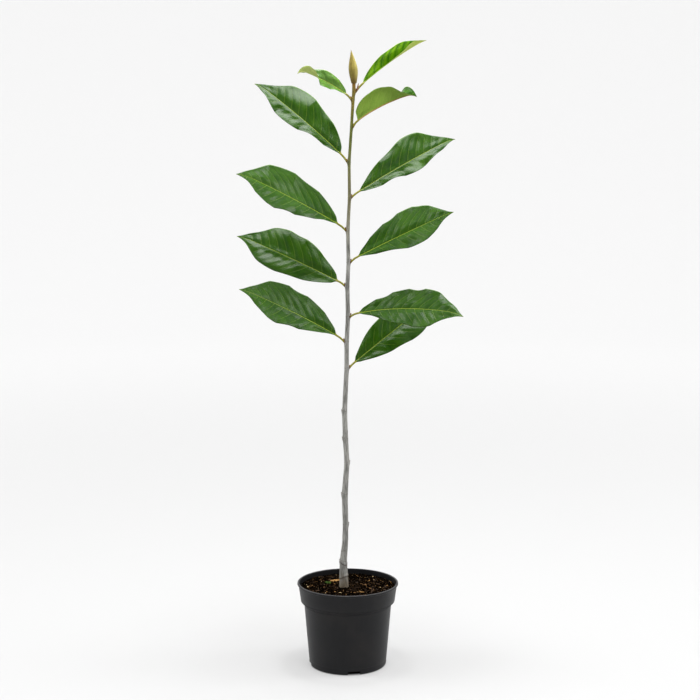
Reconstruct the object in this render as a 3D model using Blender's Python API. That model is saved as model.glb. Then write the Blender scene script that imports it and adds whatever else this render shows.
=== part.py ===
"""A young magnolia in a round nursery pot: trunk, terminal bud, leaves, potting mix and pot.

Metres, +Z up. The origin is the middle of the pot's flat underside. The leaves stand in two ranks, to -X and
to +X, and the plant's front is towards -Y. Each sub-part is one closed solid.
"""
import math
from collections import namedtuple

import bmesh
import bpy
import numpy as np

MM = 0.001
GAP = 0.3 * MM

# Pot: a tapered tub with a deep collar, a rolled lip and corner drain holes
POT_HEIGHT = 159 * MM
LIP_RADIUS = 95 * MM
LIP_DEPTH = 4 * MM
LIP_EDGE = 1 * MM
COLLAR_TOP_RADIUS = 92.8 * MM
COLLAR_BOTTOM_RADIUS = 88.4 * MM
COLLAR_BOTTOM = 124 * MM
BODY_TOP_RADIUS = 82.2 * MM
BODY_TOP = 118.5 * MM
FOOT_BAND_RADIUS = 73.3 * MM
FOOT_BAND_TOP = 13 * MM
FOOT_RADIUS = 72.9 * MM
FOOT_EDGE = 5 * MM
FOOT_STEP = 0.8 * MM
WALL = 1.8 * MM
FLOOR = 2.4 * MM
DRAIN_COUNT = 4
DRAIN_FIRST = math.radians(-80.3)
DRAIN_WIDTH = 24 * MM
DRAIN_HEIGHT = 7.5 * MM
DRAIN_DEPTH = 12 * MM
POT_SIDES = 48

# Potting mix: fills the pot to a little below the lip, level where the trunk stands. Each hump is a ring's
# share of the radius and of the swell.
MIX_LEVEL = 148.3 * MM
MIX_EDGE = 147 * MM
MIX_SWELL = 1.6 * MM
MIX_LEVEL_RADIUS = 22 * MM
MIX_HUMPS = ((0.9, 1.0), (0.68, 0.3), (0.45, 1.0))

# Trunk: knots from the foot to the tip, at the height of each leaf or old leaf scar
TRUNK_SIDES = 10
TRUNK_RING = 11 * MM
TRUNK_BEND = 11 * MM
KNOT_SWELL = 0.9 * MM
KNOT_SPREAD = 6 * MM
WEAVE = 2.5 * MM
WEAVE_LENGTH = 310 * MM
Knot = namedtuple("Knot", "height lean side diameter")
KNOTS = [
    Knot(148.6, -7.4, 0, 17.4),
    Knot(172, -7.6, 0, 16.6),
    Knot(199, -8.4, -1, 13.6),
    Knot(238, -4.6, 0, 11.2),
    Knot(270, -4.1, 1, 10.4),
    Knot(328, -5.6, -1, 11.4),
    Knot(389, -1.5, 1, 9.6),
    Knot(434, -4.2, -1, 10.0),
    Knot(485, -5.9, -1, 9.4),
    Knot(566, -2.0, 1, 8.5),
    Knot(616, -1.9, -1, 8.3),
    Knot(663, 0.6, 1, 8.1),
    Knot(719, -0.7, -1, 7.6),
    Knot(763, 1.5, 1, 7.0),
    Knot(821, 0.2, -1, 6.6),
    Knot(881, 3.3, 1, 5.8),
    Knot(945, 2.6, -1, 5.5),
    Knot(1009, 6.8, 1, 5.3),
    Knot(1057.5, 9.8, -1, 5.8),
    Knot(1071.5, 11.2, 1, 6.0),
    Knot(1087.4, 11.2, 0, 6.4),
]

# Terminal bud: a pointed spindle on the tip of the trunk
BUD_SIDES = 12
BUD_RINGS = 12
BUD_LENGTH = 60 * MM
BUD_RADIUS = 8.3 * MM
BUD_FOOT_RADIUS = 4.4 * MM
BUD_LEAN = -5.2 * MM
BUD_LEAN_CURVE = 1.6
BUD_FULLEST = 0.4
BUD_BELLY = 0.9

# Leaves: sizes in millimetres and angles in degrees, from the lowest leaf to the highest.
# away is the swing behind the plant's plane at the foot and at the tip, rise the slope of the stalk, of the
# blade's base and of its end, dip the extra droop of the tip, roll the turn of the face from level towards
# the front at base, middle and tip, fold the lift of each half at base and tip, and half and peak the
# greatest width of the back and front half and where it lies. A wave is a margin's depth, the place of one
# dip and the distance to the next, as parts of the blade.
Leaf = namedtuple("Leaf", "side height away stalk blade rise dip roll fold half peak back_wave front_wave")
LEAVES = [
    Leaf(1, 566, (22, 36), 13, 219, (52, 37, 29), 8, (60, 58, 52), (14, 10), (39, 37), (0.54, 0.56),
         (2, 0.45, 0.40), (3, 0.42, 0.40)),
    Leaf(-1, 616, (-20, -34), 17.5, 219.5, (51, 32, 23), 8, (62, 58, 52), (14, 9), (50, 42), (0.51, 0.64),
         (3, 0.44, 0.36), (3.5, 0.50, 0.47)),
    Leaf(1, 663, (-26, -38), 16, 223, (38, 15, -5), 14, (58, 56, 50), (12, 8), (42, 38), (0.53, 0.61),
         (4, 0.51, 0.28), (3, 0.48, 0.34)),
    Leaf(-1, 719, (14, 26), 14.5, 219.5, (47, 26, 19), 12, (58, 56, 52), (13, 9), (50, 38), (0.54, 0.51),
         (2.5, 0.50, 0.32), (2.5, 0.40, 0.50)),
    Leaf(1, 763, (-14, -26), 16, 203, (52, 28, 24), 6, (60, 58, 54), (12, 8), (49, 37), (0.55, 0.63),
         (2.5, 0.69, 0.30), (3.5, 0.34, 0.64)),
    Leaf(-1, 821, (-18, -30), 17.5, 221.5, (50, 32, 23), 14, (60, 56, 52), (13, 9), (56, 43), (0.52, 0.64),
         (3, 0.36, 0.46), (3.5, 0.52, 0.40)),
    Leaf(1, 881, (18, 32), 16, 224, (46, 32, 22), 12, (64, 62, 56), (14, 10), (45, 23), (0.61, 0.53),
         (4, 0.40, 0.44), (7, 0.31, 0.42)),
    Leaf(-1, 945, (16, 28), 17.5, 218.5, (61, 44, 33), 14, (56, 54, 50), (14, 10), (46, 26), (0.52, 0.58),
         (4, 0.36, 0.50), (7, 0.29, 0.50)),
    Leaf(1, 1009, (-18, -28), 13.5, 125.5, (70, 38, 13), 34, (-40, -42, 34), (62, 50), (31, 36), (0.82, 0.37),
         (1, 0.50, 0.50), (1.5, 0.70, 0.50)),
    Leaf(-1, 1057.5, (-12, -24), 13, 103.5, (61, 38, 17), 58, (60, 62, -62), (16, 36), (20, 22), (0.46, 0.62),
         (1, 0.60, 0.50), (3.5, 0.20, 0.46)),
    Leaf(1, 1071.5, (16, 30), 19, 152, (58, 42, 26), 8, (44, 38, 10), (46, 70), (24, 24), (0.53, 0.64),
         (1, 0.50, 0.50), (1, 0.50, 0.50)),
]
STALK_RADIUS = 1.8
STALK_FOOT_RADIUS = 2.3
STALK_FOOT = 0.3
STALK_MERGE = 0.05
THICKNESS_SHARE = 0.011
THIN_TIP_START = 0.9
RIB_DEPTH = 1.6
HALF_STEPS = 3
STALK_RINGS = 4
BLADE_RINGS = 18
TRACE_STEPS = 240
MARGIN_ANGLE = 80

# The rule of a blade: how its rise settles, its half width rounds, its tip draws out, its halves arch and
# its margins wave. Waves fade where a half is narrower than FREE_MARGIN.
SETTLE_CURVE = 0.7
DIP_START = 0.82
OUTLINE_CURVE = 0.7
TIP_START = 0.7
TIP_PINCH = 0.85
TIP_CURVE = 1.5
CAMBER = 0.14
WAVE_PINCH = 0.5
WAVE_CURVE = 0.6
FREE_MARGIN = 12


def smooth(value):
    """0 to 1 along an S-curve."""
    value = min(max(value, 0.0), 1.0)
    return value * value * (3 - 2 * value)


def mix(start, end, part):
    """The value at part of the way from start to end."""
    return start + (end - start) * part


def material(name, colour, roughness):
    made = bpy.data.materials.new(name)
    made.use_nodes = True
    shader = made.node_tree.nodes["Principled BSDF"]
    shader.inputs["Base Color"].default_value = (*colour, 1)
    shader.inputs["Roughness"].default_value = roughness
    shader.inputs["Metallic"].default_value = 0
    return made


def finish(name, mesh, finish_material, sharp=40):
    """Puts a mesh into the scene as one named object, shaded smooth with its sharp edges kept."""
    part = bpy.data.objects.new(name, mesh)
    bpy.context.collection.objects.link(part)
    mesh.materials.append(finish_material)
    mesh.shade_smooth()
    mesh.set_sharp_from_angle(angle=math.radians(sharp))
    return part


def lofted(rings, first_pole=None, last_pole=None):
    """A closed skin over rings of equal count, each end closed by a fan to its pole or by a flat face."""
    shape = bmesh.new()
    loops = [[shape.verts.new(point) for point in ring] for ring in rings]
    for lower, upper in zip(loops, loops[1:]):
        bridge(shape, lower, upper)
    close_end(shape, loops[0][::-1], first_pole)
    close_end(shape, loops[-1], last_pole)
    bmesh.ops.triangulate(shape, faces=shape.faces[:])
    bmesh.ops.recalc_face_normals(shape, faces=shape.faces[:])
    mesh = bpy.data.meshes.new("skin")
    shape.to_mesh(mesh)
    shape.free()
    return mesh


def bridge(shape, lower, upper):
    count = len(lower)
    for index in range(count):
        following = (index + 1) % count
        shape.faces.new((lower[index], lower[following], upper[following], upper[index]))


def close_end(shape, loop, pole):
    if pole is None:
        shape.faces.new(loop)
        return
    tip = shape.verts.new(pole)
    for index, corner in enumerate(loop):
        shape.faces.new((corner, loop[(index + 1) % len(loop)], tip))


def circle(centre, radius, sides):
    angles = [2 * math.pi * index / sides for index in range(sides)]
    x, y, z = centre
    return [(x + radius * math.cos(angle), y + radius * math.sin(angle), z) for angle in angles]


def turned(profile, sides):
    """A turned solid: the profile runs from the axis outwards and back to the axis."""
    rings = [circle((0, 0, height), radius, sides) for radius, height in profile[1:-1]]
    return lofted(rings, (0, 0, profile[0][1]), (0, 0, profile[-1][1]))


def inner_wall():
    """The pot's inner face from the lip down to the floor, as radius and height."""
    return [
        (COLLAR_TOP_RADIUS - WALL, POT_HEIGHT - LIP_DEPTH),
        (COLLAR_BOTTOM_RADIUS - WALL, COLLAR_BOTTOM + WALL / 2),
        (BODY_TOP_RADIUS - WALL, BODY_TOP + WALL / 2),
        (FOOT_RADIUS - WALL, FLOOR + FOOT_EDGE),
        (FOOT_RADIUS - FOOT_EDGE, FLOOR),
    ]


def build_pot():
    profile = [
        (0, 0),
        (FOOT_RADIUS - FOOT_EDGE, 0),
        (FOOT_RADIUS, FOOT_EDGE),
        (FOOT_RADIUS, FOOT_BAND_TOP - FOOT_STEP),
        (FOOT_BAND_RADIUS, FOOT_BAND_TOP),
        (BODY_TOP_RADIUS, BODY_TOP),
        (COLLAR_BOTTOM_RADIUS, COLLAR_BOTTOM),
        (COLLAR_TOP_RADIUS, POT_HEIGHT - LIP_DEPTH),
        (LIP_RADIUS, POT_HEIGHT - LIP_DEPTH + LIP_EDGE),
        (LIP_RADIUS, POT_HEIGHT - LIP_EDGE),
        (LIP_RADIUS - LIP_EDGE, POT_HEIGHT),
        (LIP_RADIUS - LIP_EDGE - WALL, POT_HEIGHT),
        *inner_wall(),
        (0, FLOOR),
    ]
    black = material("pot_black", (0.018, 0.018, 0.02), 0.5)
    pot = finish("pot", turned(profile, POT_SIDES), black, 30)
    for index in range(DRAIN_COUNT):
        cut_drain(pot, DRAIN_FIRST + 2 * math.pi * index / DRAIN_COUNT)
    return pot


def cut_drain(pot, turn):
    """Cuts one drain hole through the corner of the wall and the floor."""
    bpy.ops.mesh.primitive_cube_add(size=1)
    cutter = bpy.context.object
    cutter.name = "drain_cutter"
    reach = FOOT_RADIUS - DRAIN_DEPTH / 2 + MM
    cutter.scale = (DRAIN_WIDTH, DRAIN_DEPTH, DRAIN_HEIGHT * 2)
    cutter.rotation_euler = (0, 0, turn - math.pi / 2)
    cutter.location = (reach * math.cos(turn), reach * math.sin(turn), 0)
    cutter.hide_render = True
    cutter.display_type = "WIRE"
    cut = pot.modifiers.new("drain", "BOOLEAN")
    cut.object = cutter
    cut.operation = "DIFFERENCE"


def build_mix():
    """The potting mix: a plug that stands clear of the pot's inner face, with a slightly uneven top."""
    wall = [(radius - GAP, height) for radius, height in inner_wall()]
    lip, collar, body, corner, floor = wall
    part = (MIX_EDGE - collar[1]) / (lip[1] - collar[1])
    edge_radius = mix(collar[0], lip[0], part)
    profile = [
        (0, FLOOR + GAP),
        (floor[0] - GAP, FLOOR + GAP),
        corner,
        body,
        collar,
        (edge_radius, MIX_EDGE),
        *[(edge_radius * share, MIX_LEVEL + MIX_SWELL * swell) for share, swell in MIX_HUMPS],
        (MIX_LEVEL_RADIUS, MIX_LEVEL),
        (0, MIX_LEVEL),
    ]
    brown = material("peat_brown", (0.03, 0.02, 0.012), 0.95)
    return finish("potting_mix", turned(profile, POT_SIDES), brown, 60)


def trunk_centre(height):
    """Middle of the trunk at a height: straight from knot to knot, with each bend eased."""
    heights = [knot.height * MM for knot in KNOTS]
    leans = [knot.lean * MM for knot in KNOTS]
    around = [height + TRUNK_BEND * step for step in (-1, -0.5, 0, 0.5, 1)]
    lean = float(np.mean(np.interp(around, heights, leans)))
    above = height - heights[0]
    sway = WEAVE * math.sin(2 * math.pi * above / WEAVE_LENGTH) * smooth(above / WEAVE_LENGTH)
    return lean, sway


def trunk_radius(height):
    heights = [knot.height * MM for knot in KNOTS]
    radii = [knot.diameter * MM / 2 for knot in KNOTS]
    return float(np.interp(height, heights, radii))


def knot_swell(height):
    """How far the trunk stands out at a height beside a knot, to the left (-) or right (+)."""
    swell = 0.0
    for knot in KNOTS:
        away = (height - knot.height * MM) / KNOT_SPREAD
        swell += knot.side * KNOT_SWELL * math.exp(-away * away)
    return swell


def build_trunk():
    foot = KNOTS[0].height * MM
    tip = KNOTS[-1].height * MM
    count = round((tip - foot) / TRUNK_RING)
    rings = []
    for height in np.linspace(foot, tip, count + 1):
        lean, sway = trunk_centre(height)
        swell = knot_swell(height)
        radius = trunk_radius(height) + abs(swell) / 2
        rings.append(circle((lean + swell / 2, sway, height), radius, TRUNK_SIDES))
    bark = material("bark_grey", (0.27, 0.24, 0.21), 0.8)
    return finish("trunk", lofted(rings), bark, 60)


def bud_radius(part):
    """The bud's half thickness, from its foot at 0 to its point at 1."""
    if part < BUD_FULLEST:
        return mix(BUD_FOOT_RADIUS, BUD_RADIUS, math.sin(part / BUD_FULLEST * math.pi / 2))
    above = (part - BUD_FULLEST) / (1 - BUD_FULLEST)
    return BUD_RADIUS * (1 - above) * (1 + BUD_BELLY * above * (1 - above))


def build_bud():
    foot = KNOTS[-1].height * MM + GAP
    lean, sway = trunk_centre(foot)
    rings = []
    for index in range(BUD_RINGS):
        part = index / BUD_RINGS
        centre = (lean + BUD_LEAN * part ** BUD_LEAN_CURVE, sway, foot + BUD_LENGTH * part)
        rings.append(circle(centre, bud_radius(part), BUD_SIDES))
    point = (lean + BUD_LEAN, sway, foot + BUD_LENGTH)
    olive = material("bud_olive", (0.30, 0.26, 0.09), 0.6)
    return finish("terminal_bud", lofted(rings, None, point), olive, 60)


def three_way(values, part):
    """Runs smoothly from the first value through the second, at the middle, to the third."""
    first, middle, last = values
    if part < 0.5:
        return mix(first, middle, smooth(2 * part))
    return mix(middle, last, smooth(2 * part - 1))


def midrib_direction(leaf, along):
    """Unit vector along the stalk and midrib, at a distance from the foot in millimetres."""
    stalk_rise, base_rise, end_rise = leaf.rise
    part = max(0.0, (along - leaf.stalk) / leaf.blade)
    if along < leaf.stalk:
        rise = mix(stalk_rise, base_rise, smooth(along / leaf.stalk))
    else:
        rise = mix(base_rise, end_rise, part ** SETTLE_CURVE)
        rise -= leaf.dip * smooth((part - DIP_START) / (1 - DIP_START))
    rise = math.radians(rise)
    away = math.radians(mix(*leaf.away, part))
    level = np.array((leaf.side * math.cos(away), math.sin(away), 0))
    return level * math.cos(rise) + np.array((0, 0, math.sin(rise)))


def trace_midrib(leaf):
    """Points and directions along the stalk and midrib, with their distances from the foot."""
    away = math.radians(leaf.away[0])
    outwards = np.array((leaf.side * math.cos(away), math.sin(away), 0))
    height = leaf.height * MM
    lean, sway = trunk_centre(height)
    radius = trunk_radius(height) + KNOT_SWELL
    point = np.array((lean, sway, height)) + outwards * (radius + GAP)
    along = np.linspace(0, leaf.stalk + leaf.blade, TRACE_STEPS + 1)
    step = along[1] * MM
    ways = np.array([midrib_direction(leaf, distance) for distance in along])
    between = (ways[1:] + ways[:-1]) / 2 * step
    points = point + np.vstack((np.zeros(3), np.cumsum(between, axis=0)))
    return along, points, ways, outwards


def outline(part, peak):
    """The blade's half width at part of its length, against its greatest: round base, drawn-out tip."""
    power = math.log(0.5) / math.log(peak)
    width = max(0.0, math.sin(math.pi * part ** power)) ** OUTLINE_CURVE
    beyond = max(0.0, part - TIP_START) / (1 - TIP_START)
    return width * (1 - TIP_PINCH * beyond ** TIP_CURVE)


def margin_wave(wave, part):
    depth, dip, spacing = wave
    return depth * math.cos(2 * math.pi * (part - dip) / spacing) * math.sin(math.pi * part) ** WAVE_CURVE


def blade_offset(leaf, part, across):
    """Sideways place and lift in millimetres of a point across the blade, -1 in front to 1 behind."""
    back = across > 0
    half = leaf.half[0 if back else 1] * outline(part, leaf.peak[0 if back else 1])
    wave = margin_wave(leaf.back_wave if back else leaf.front_wave, part) * min(1, half / FREE_MARGIN)
    fold = math.radians(mix(*leaf.fold, part))
    out = abs(across)
    width = max(0.0, half - WAVE_PINCH * wave)
    lift = width * out * math.sin(fold) - CAMBER * width * out * out
    lift -= math.copysign(wave, across) * out * out
    return across * width * math.cos(fold), lift


def blade_section(leaf, along):
    """A closed ring of sideways places and lifts round the stalk or blade at a distance from the foot."""
    part = max(0.0, (along - leaf.stalk) / leaf.blade)
    flat = smooth(part / STALK_MERGE)
    foot = smooth(1 - along / (STALK_FOOT * leaf.stalk))
    radius = mix(STALK_RADIUS, STALK_FOOT_RADIUS, foot)
    thinning = smooth((part - THIN_TIP_START) / (1 - THIN_TIP_START)) / 2
    thickness = THICKNESS_SHARE * (leaf.stalk + leaf.blade) * (1 - thinning)
    rib = RIB_DEPTH * (1 - part)
    ring = []
    for face in (1, -1):
        for index in range(-HALF_STEPS, HALF_STEPS + 1):
            across = -face * index / HALF_STEPS
            angle = face * math.radians(90 - across * MARGIN_ANGLE)
            side, lift = blade_offset(leaf, part, across)
            ridge = rib * max(0.0, 1 - abs(across) * HALF_STEPS) if face < 0 else 0.0
            blade = (side, lift + face * thickness / 2 - ridge)
            round_stalk = (radius * math.cos(angle), radius * math.sin(angle))
            ring.append((mix(round_stalk[0], blade[0], flat), mix(round_stalk[1], blade[1], flat)))
    return ring


def leaf_ring(leaf, trace, along):
    """The blade section at a distance from the foot, turned into place round the midrib."""
    distances, points, ways, outwards = trace
    centre = np.array([np.interp(along, distances, points[:, axis]) for axis in range(3)])
    way = midrib_direction(leaf, along)
    level = np.cross(way, (0, 0, 1)) * -leaf.side
    level /= np.linalg.norm(level)
    up = np.cross(level, way) * -leaf.side
    part = max(0.0, (along - leaf.stalk) / leaf.blade)
    roll = math.radians(three_way(leaf.roll, part))
    sideways = level * math.cos(roll) + up * math.sin(roll)
    face = up * math.cos(roll) - level * math.sin(roll)
    if along == 0:
        face = np.array((0, 0, 1.0))
        sideways = np.array((-outwards[1], outwards[0], 0)) * leaf.side
    ring = blade_section(leaf, along)
    return [centre + sideways * side * MM + face * lift * MM for side, lift in ring]


def build_leaf(number, leaf):
    trace = trace_midrib(leaf)
    stalk = np.linspace(0, leaf.stalk, STALK_RINGS, endpoint=False)
    blade = leaf.stalk + leaf.blade * np.linspace(0, 1, BLADE_RINGS + 1)[:-1]
    rings = [leaf_ring(leaf, trace, along) for along in (*stalk, *blade)]
    tip = trace[1][-1]
    green = material(f"leaf_green_{number}", (0.05, 0.16, 0.025), 0.4)
    return finish(f"leaf_{number}", lofted(rings, None, tip), green, 50)


def clear_scene():
    for old in list(bpy.data.objects):
        bpy.data.objects.remove(old, do_unlink=True)


def build_all():
    clear_scene()
    build_pot()
    build_mix()
    build_trunk()
    build_bud()
    for number, leaf in enumerate(LEAVES, 1):
        build_leaf(number, leaf)


build_all()
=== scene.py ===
# %% [markdown]
# # A young magnolia in its nursery pot
# The plant is one slender trunk with eleven leaves in two ranks and a pointed bud on its tip. It grows in a
# black plastic pot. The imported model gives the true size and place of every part, and this file gives each
# part its looks: finer shapes, and materials made from nodes. Everything is in metres.

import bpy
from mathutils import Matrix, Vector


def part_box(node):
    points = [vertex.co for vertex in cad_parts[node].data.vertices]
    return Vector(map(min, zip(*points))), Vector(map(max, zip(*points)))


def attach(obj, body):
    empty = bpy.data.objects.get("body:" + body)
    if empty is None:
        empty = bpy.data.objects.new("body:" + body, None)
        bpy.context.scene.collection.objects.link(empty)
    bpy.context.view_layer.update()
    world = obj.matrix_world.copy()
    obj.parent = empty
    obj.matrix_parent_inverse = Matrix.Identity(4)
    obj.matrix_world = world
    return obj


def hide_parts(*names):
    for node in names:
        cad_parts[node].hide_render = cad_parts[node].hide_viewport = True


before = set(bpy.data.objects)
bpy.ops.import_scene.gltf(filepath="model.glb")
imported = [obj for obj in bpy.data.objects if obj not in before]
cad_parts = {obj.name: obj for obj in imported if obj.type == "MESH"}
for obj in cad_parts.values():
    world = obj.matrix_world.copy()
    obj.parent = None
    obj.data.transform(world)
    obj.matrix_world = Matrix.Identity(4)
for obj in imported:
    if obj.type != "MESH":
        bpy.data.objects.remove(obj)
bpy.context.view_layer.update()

# %% Tools for the whole file
import math
from collections import namedtuple

import bmesh
import bpy
import numpy as np
from mathutils import Vector, noise

MM = 0.001


def mix(start, end, part):
    """The value at part of the way from start to end."""
    return start + (end - start) * part


def smooth(value):
    """0 to 1 along an S-curve, for a number or an array."""
    value = np.clip(value, 0, 1)
    return value * value * (3 - 2 * value)


def bump(distance, width):
    """1 at distance 0, falling softly to nothing at about twice the width."""
    return np.exp(-((distance / width) ** 2))


# %% [markdown]
# ## Camera
# A long lens from three metres away keeps the plant's proportions. It stands as high as the upper leaves and
# looks eight degrees down, so that the mouth of the pot shows as a narrow ellipse.

# %% Place the camera
LENS = 85.35
CAMERA_PLACE = (0.0042, -3.035, 1.036)
CAMERA_DOWN = math.radians(8.165)

camera_data = bpy.data.cameras.new("camera")
camera_data.lens = LENS
camera_data.sensor_width = 36
camera = bpy.data.objects.new("camera", camera_data)
camera.location = CAMERA_PLACE
camera.rotation_euler = (math.pi / 2 - CAMERA_DOWN, 0, 0)
bpy.context.scene.collection.objects.link(camera)
bpy.context.scene.camera = camera
bpy.context.scene.view_settings.view_transform = "Standard"
print(f"camera {abs(CAMERA_PLACE[1])} m away, {LENS} mm lens")

# %% [markdown]
# ## Shader maths
# A material is a small graph of nodes, and writing it out link by link hides what it says. The class below
# wraps one output of a node, so that sums on it read as sums: 1 - mask adds a Math node that subtracts.
# Colours go through Mix nodes, because a Math node would turn them grey.

# %% Wrap sockets and nodes


class Value:
    """One output of a node, which takes part in sums."""

    def __init__(self, finish, socket):
        self.finish = finish
        self.socket = socket

    def math(self, operation, *others):
        return self.finish.node("Math", {"operation": operation}, dict(enumerate((self, *others))))

    def __add__(self, other):
        return self.math("ADD", other)

    def __sub__(self, other):
        return self.math("SUBTRACT", other)

    def __mul__(self, other):
        return self.math("MULTIPLY", other)

    def __rsub__(self, first):
        return self.finish.node("Math", {"operation": "SUBTRACT"}, {0: first, 1: self})

    __radd__ = __add__
    __rmul__ = __mul__

    def part(self, axis):
        """The X, Y or Z of a vector."""
        return self.finish.node("SeparateXYZ", {}, {0: self}, out=axis)


class Finish:
    """A material with its Principled shader and a short way to add nodes."""

    def __init__(self, name):
        self.material = bpy.data.materials.new(name)
        self.material.use_nodes = True
        self.tree = self.material.node_tree
        self.shader = self.tree.nodes["Principled BSDF"]

    def plug(self, socket, value):
        if isinstance(value, Value):
            self.tree.links.new(value.socket, socket)
        elif isinstance(value, tuple) and len(value) == 3 and socket.type == "RGBA":
            socket.default_value = (*value, 1)
        else:
            socket.default_value = value

    def node(self, kind, settings, sockets, out=0):
        """Adds a node: its type, its settings, then the values or links of its sockets."""
        made = self.tree.nodes.new("ShaderNode" + kind)
        for name, value in settings.items():
            setattr(made, name, value)
        for name, value in sockets.items():
            self.plug(made.inputs[name], value)
        return Value(self, made.outputs[out])

    def place(self):
        """Object coordinates, in metres."""
        return self.node("TexCoord", {}, {}, out="Object")

    def attribute(self, name):
        return self.node("Attribute", {"attribute_name": name}, {}, out="Vector")

    def stretched(self, vector, scale):
        return self.node("Mapping", {}, {"Vector": vector, "Scale": scale})

    def noise(self, vector, size, detail=3.0, roughness=0.5):
        """Cloudy noise, 0 to 1, whose patches measure about size metres."""
        return self.node("TexNoise", {}, {"Vector": vector, "Scale": 1 / size, "Detail": detail,
                                          "Roughness": roughness})

    def cells(self, vector, size, feature="F1"):
        """Distance to the nearest cell point, about 0 to 1, in cells of about size metres."""
        return self.node("TexVoronoi", {"feature": feature}, {"Vector": vector, "Scale": 1 / size})

    def step(self, value, low, high, start=0.0, end=1.0):
        """Runs smoothly from start to end as the value runs from low to high."""
        return self.node("MapRange", {"interpolation_type": "SMOOTHSTEP"},
                         {"Value": value, "From Min": low, "From Max": high, "To Min": start, "To Max": end})

    def blend(self, first, second, factor):
        """A colour between two colours."""
        return self.node("Mix", {"data_type": "RGBA"}, {0: factor, 6: first, 7: second}, out=2)

    def relief(self, height, strength=1.0):
        """The normal of a surface that stands out by height metres."""
        return self.node("Bump", {}, {"Height": height, "Distance": 1.0, "Strength": strength})

    def settle(self, **sockets):
        """Sets the shader's own sockets: base_color=... for Base Color, and so on."""
        for name, value in sockets.items():
            title = " ".join(word if word == "IOR" else word.capitalize() for word in name.split("_"))
            self.plug(self.shader.inputs[title], value)
        return self.material


def rgb(red, green, blue):
    """A colour as the eye reads it, 0 to 255 a channel, in the linear light that shaders take."""
    shares = [channel / 255 for channel in (red, green, blue)]
    return tuple(s / 12.92 if s <= 0.04045 else ((s + 0.055) / 1.055) ** 2.4 for s in shares)


print("shader helpers ready")

# %% [markdown]
# ## Studio
# The plant stands in a bright white studio. A flat sheet would show its edge at the horizon, so the floor
# runs up into a wall all round, as one bowl turned in a soft curve.

# %% Sweep the studio floor
FLOOR_START = 0.5
FLOOR_REACH = 4.6
COVE = 1.6
WALL_TOP = 4.2
BOWL_SIDES = 96


def only(piece):
    """Deselects everything and makes one piece active."""
    bpy.ops.object.select_all(action="DESELECT")
    piece.select_set(True)
    bpy.context.view_layer.objects.active = piece


def extrude_rings(profile):
    """Extrudes the selected ring through a profile of radius and height, one ring a point."""
    (radius, height), *rest = profile
    for next_radius, next_height in rest:
        bpy.ops.mesh.extrude_region_move(TRANSFORM_OT_translate={"value": (0, 0, next_height - height)})
        share = next_radius / radius
        bpy.ops.transform.resize(value=(share, share, 1), center_override=(0, 0, next_height))
        radius, height = next_radius, next_height


def turned(name, profile, sides, close_start=True, close_end=True):
    """A turned shape: a circle primitive extruded up a profile of radius and height."""
    bpy.ops.object.select_all(action="DESELECT")
    radius, height = profile[0]
    bpy.ops.mesh.primitive_circle_add(vertices=sides, radius=radius, location=(0, 0, height),
                                      fill_type="NOTHING")
    piece = bpy.context.object
    piece.name = name
    bpy.ops.object.transform_apply()
    bpy.ops.object.mode_set(mode="EDIT")
    bpy.ops.mesh.select_mode(type="EDGE")
    bpy.ops.mesh.select_all(action="SELECT")
    if close_start:
        bpy.ops.mesh.edge_face_add()
        bpy.ops.mesh.select_mode(type="EDGE")
    extrude_rings(profile)
    if close_end:
        bpy.ops.mesh.edge_face_add()
    bpy.ops.mesh.select_all(action="SELECT")
    bpy.ops.mesh.normals_make_consistent(inside=False)
    bpy.ops.object.mode_set(mode="OBJECT")
    return piece


def arc(middle, size, start, end, steps):
    """Points of radius and height on a round corner, by the angles it starts and ends at."""
    angles = np.radians(np.linspace(start, end, steps + 1))
    return [(middle[0] + size * math.cos(angle), middle[1] + size * math.sin(angle)) for angle in angles]


cove = arc((FLOOR_REACH, COVE), COVE, -80, 0, 12)
bowl = [(FLOOR_START, 0), (FLOOR_REACH, 0), *cove, (FLOOR_REACH + COVE, WALL_TOP)]
floor = turned("studio_floor", bowl, BOWL_SIDES, close_end=False)
bpy.ops.object.shade_smooth()
print(f"studio floor {2 * FLOOR_REACH} m across")

# %% [markdown]
# The paper glows a little as painted light, as if lit from behind. The glow is left out under the pot, as a
# painted shadow, and comes up at the pot's edge, where it is brighter as painted light on the shadow at the
# foot.
# It is somewhat weaker a few centimetres further out, grows towards the wall, and is weaker on the side of
# the camera.

# %% Light the paper
PAPER = 0.38
# Between which distances in metres the glow changes, and by how much
RING_UP, RING_GLOW = (0.060, 0.074), 0.355
RING_DOWN, RING_LOSS = (0.075, 0.125), 0.12
WALL_UP, WALL_GLOW = (0.5, 4.5), 0.33
CAMERA_SIDE, CAMERA_SHARE = (-3.5, -0.8), 0.3


def studio_white():
    f = Finish("studio_white")
    place = f.place()
    away = f.node("VectorMath", {"operation": "LENGTH"}, {0: place}, out="Value")
    # Painted shadow under the pot, and a ring of painted light at its foot
    glow = f.step(away, *RING_UP, 0.0, RING_GLOW) - f.step(away, *RING_DOWN, 0.0, RING_LOSS)
    glow = glow + f.step(away, *WALL_UP, 0.0, WALL_GLOW)
    glow = glow * f.step(place.part(1), *CAMERA_SIDE, CAMERA_SHARE, 1.0)
    return f.settle(base_color=(PAPER, PAPER, PAPER), roughness=1.0, specular_IOR_level=0.0,
                    emission_color=f.blend((0, 0, 0), (1, 1, 1), glow), emission_strength=1.0)


floor.data.materials.append(studio_white())
print("paper finished")

# %% [markdown]
# Large soft lamps give the broad pale sheens on glossy leaves: each leaf face mirrors what hangs where it
# looks, which is above, before or beside the plant. So a big lamp hangs overhead, two weak ones stand in
# front and two at the sides, and the sky over the bowl gives the rest, so that no hard shadow falls.

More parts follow.
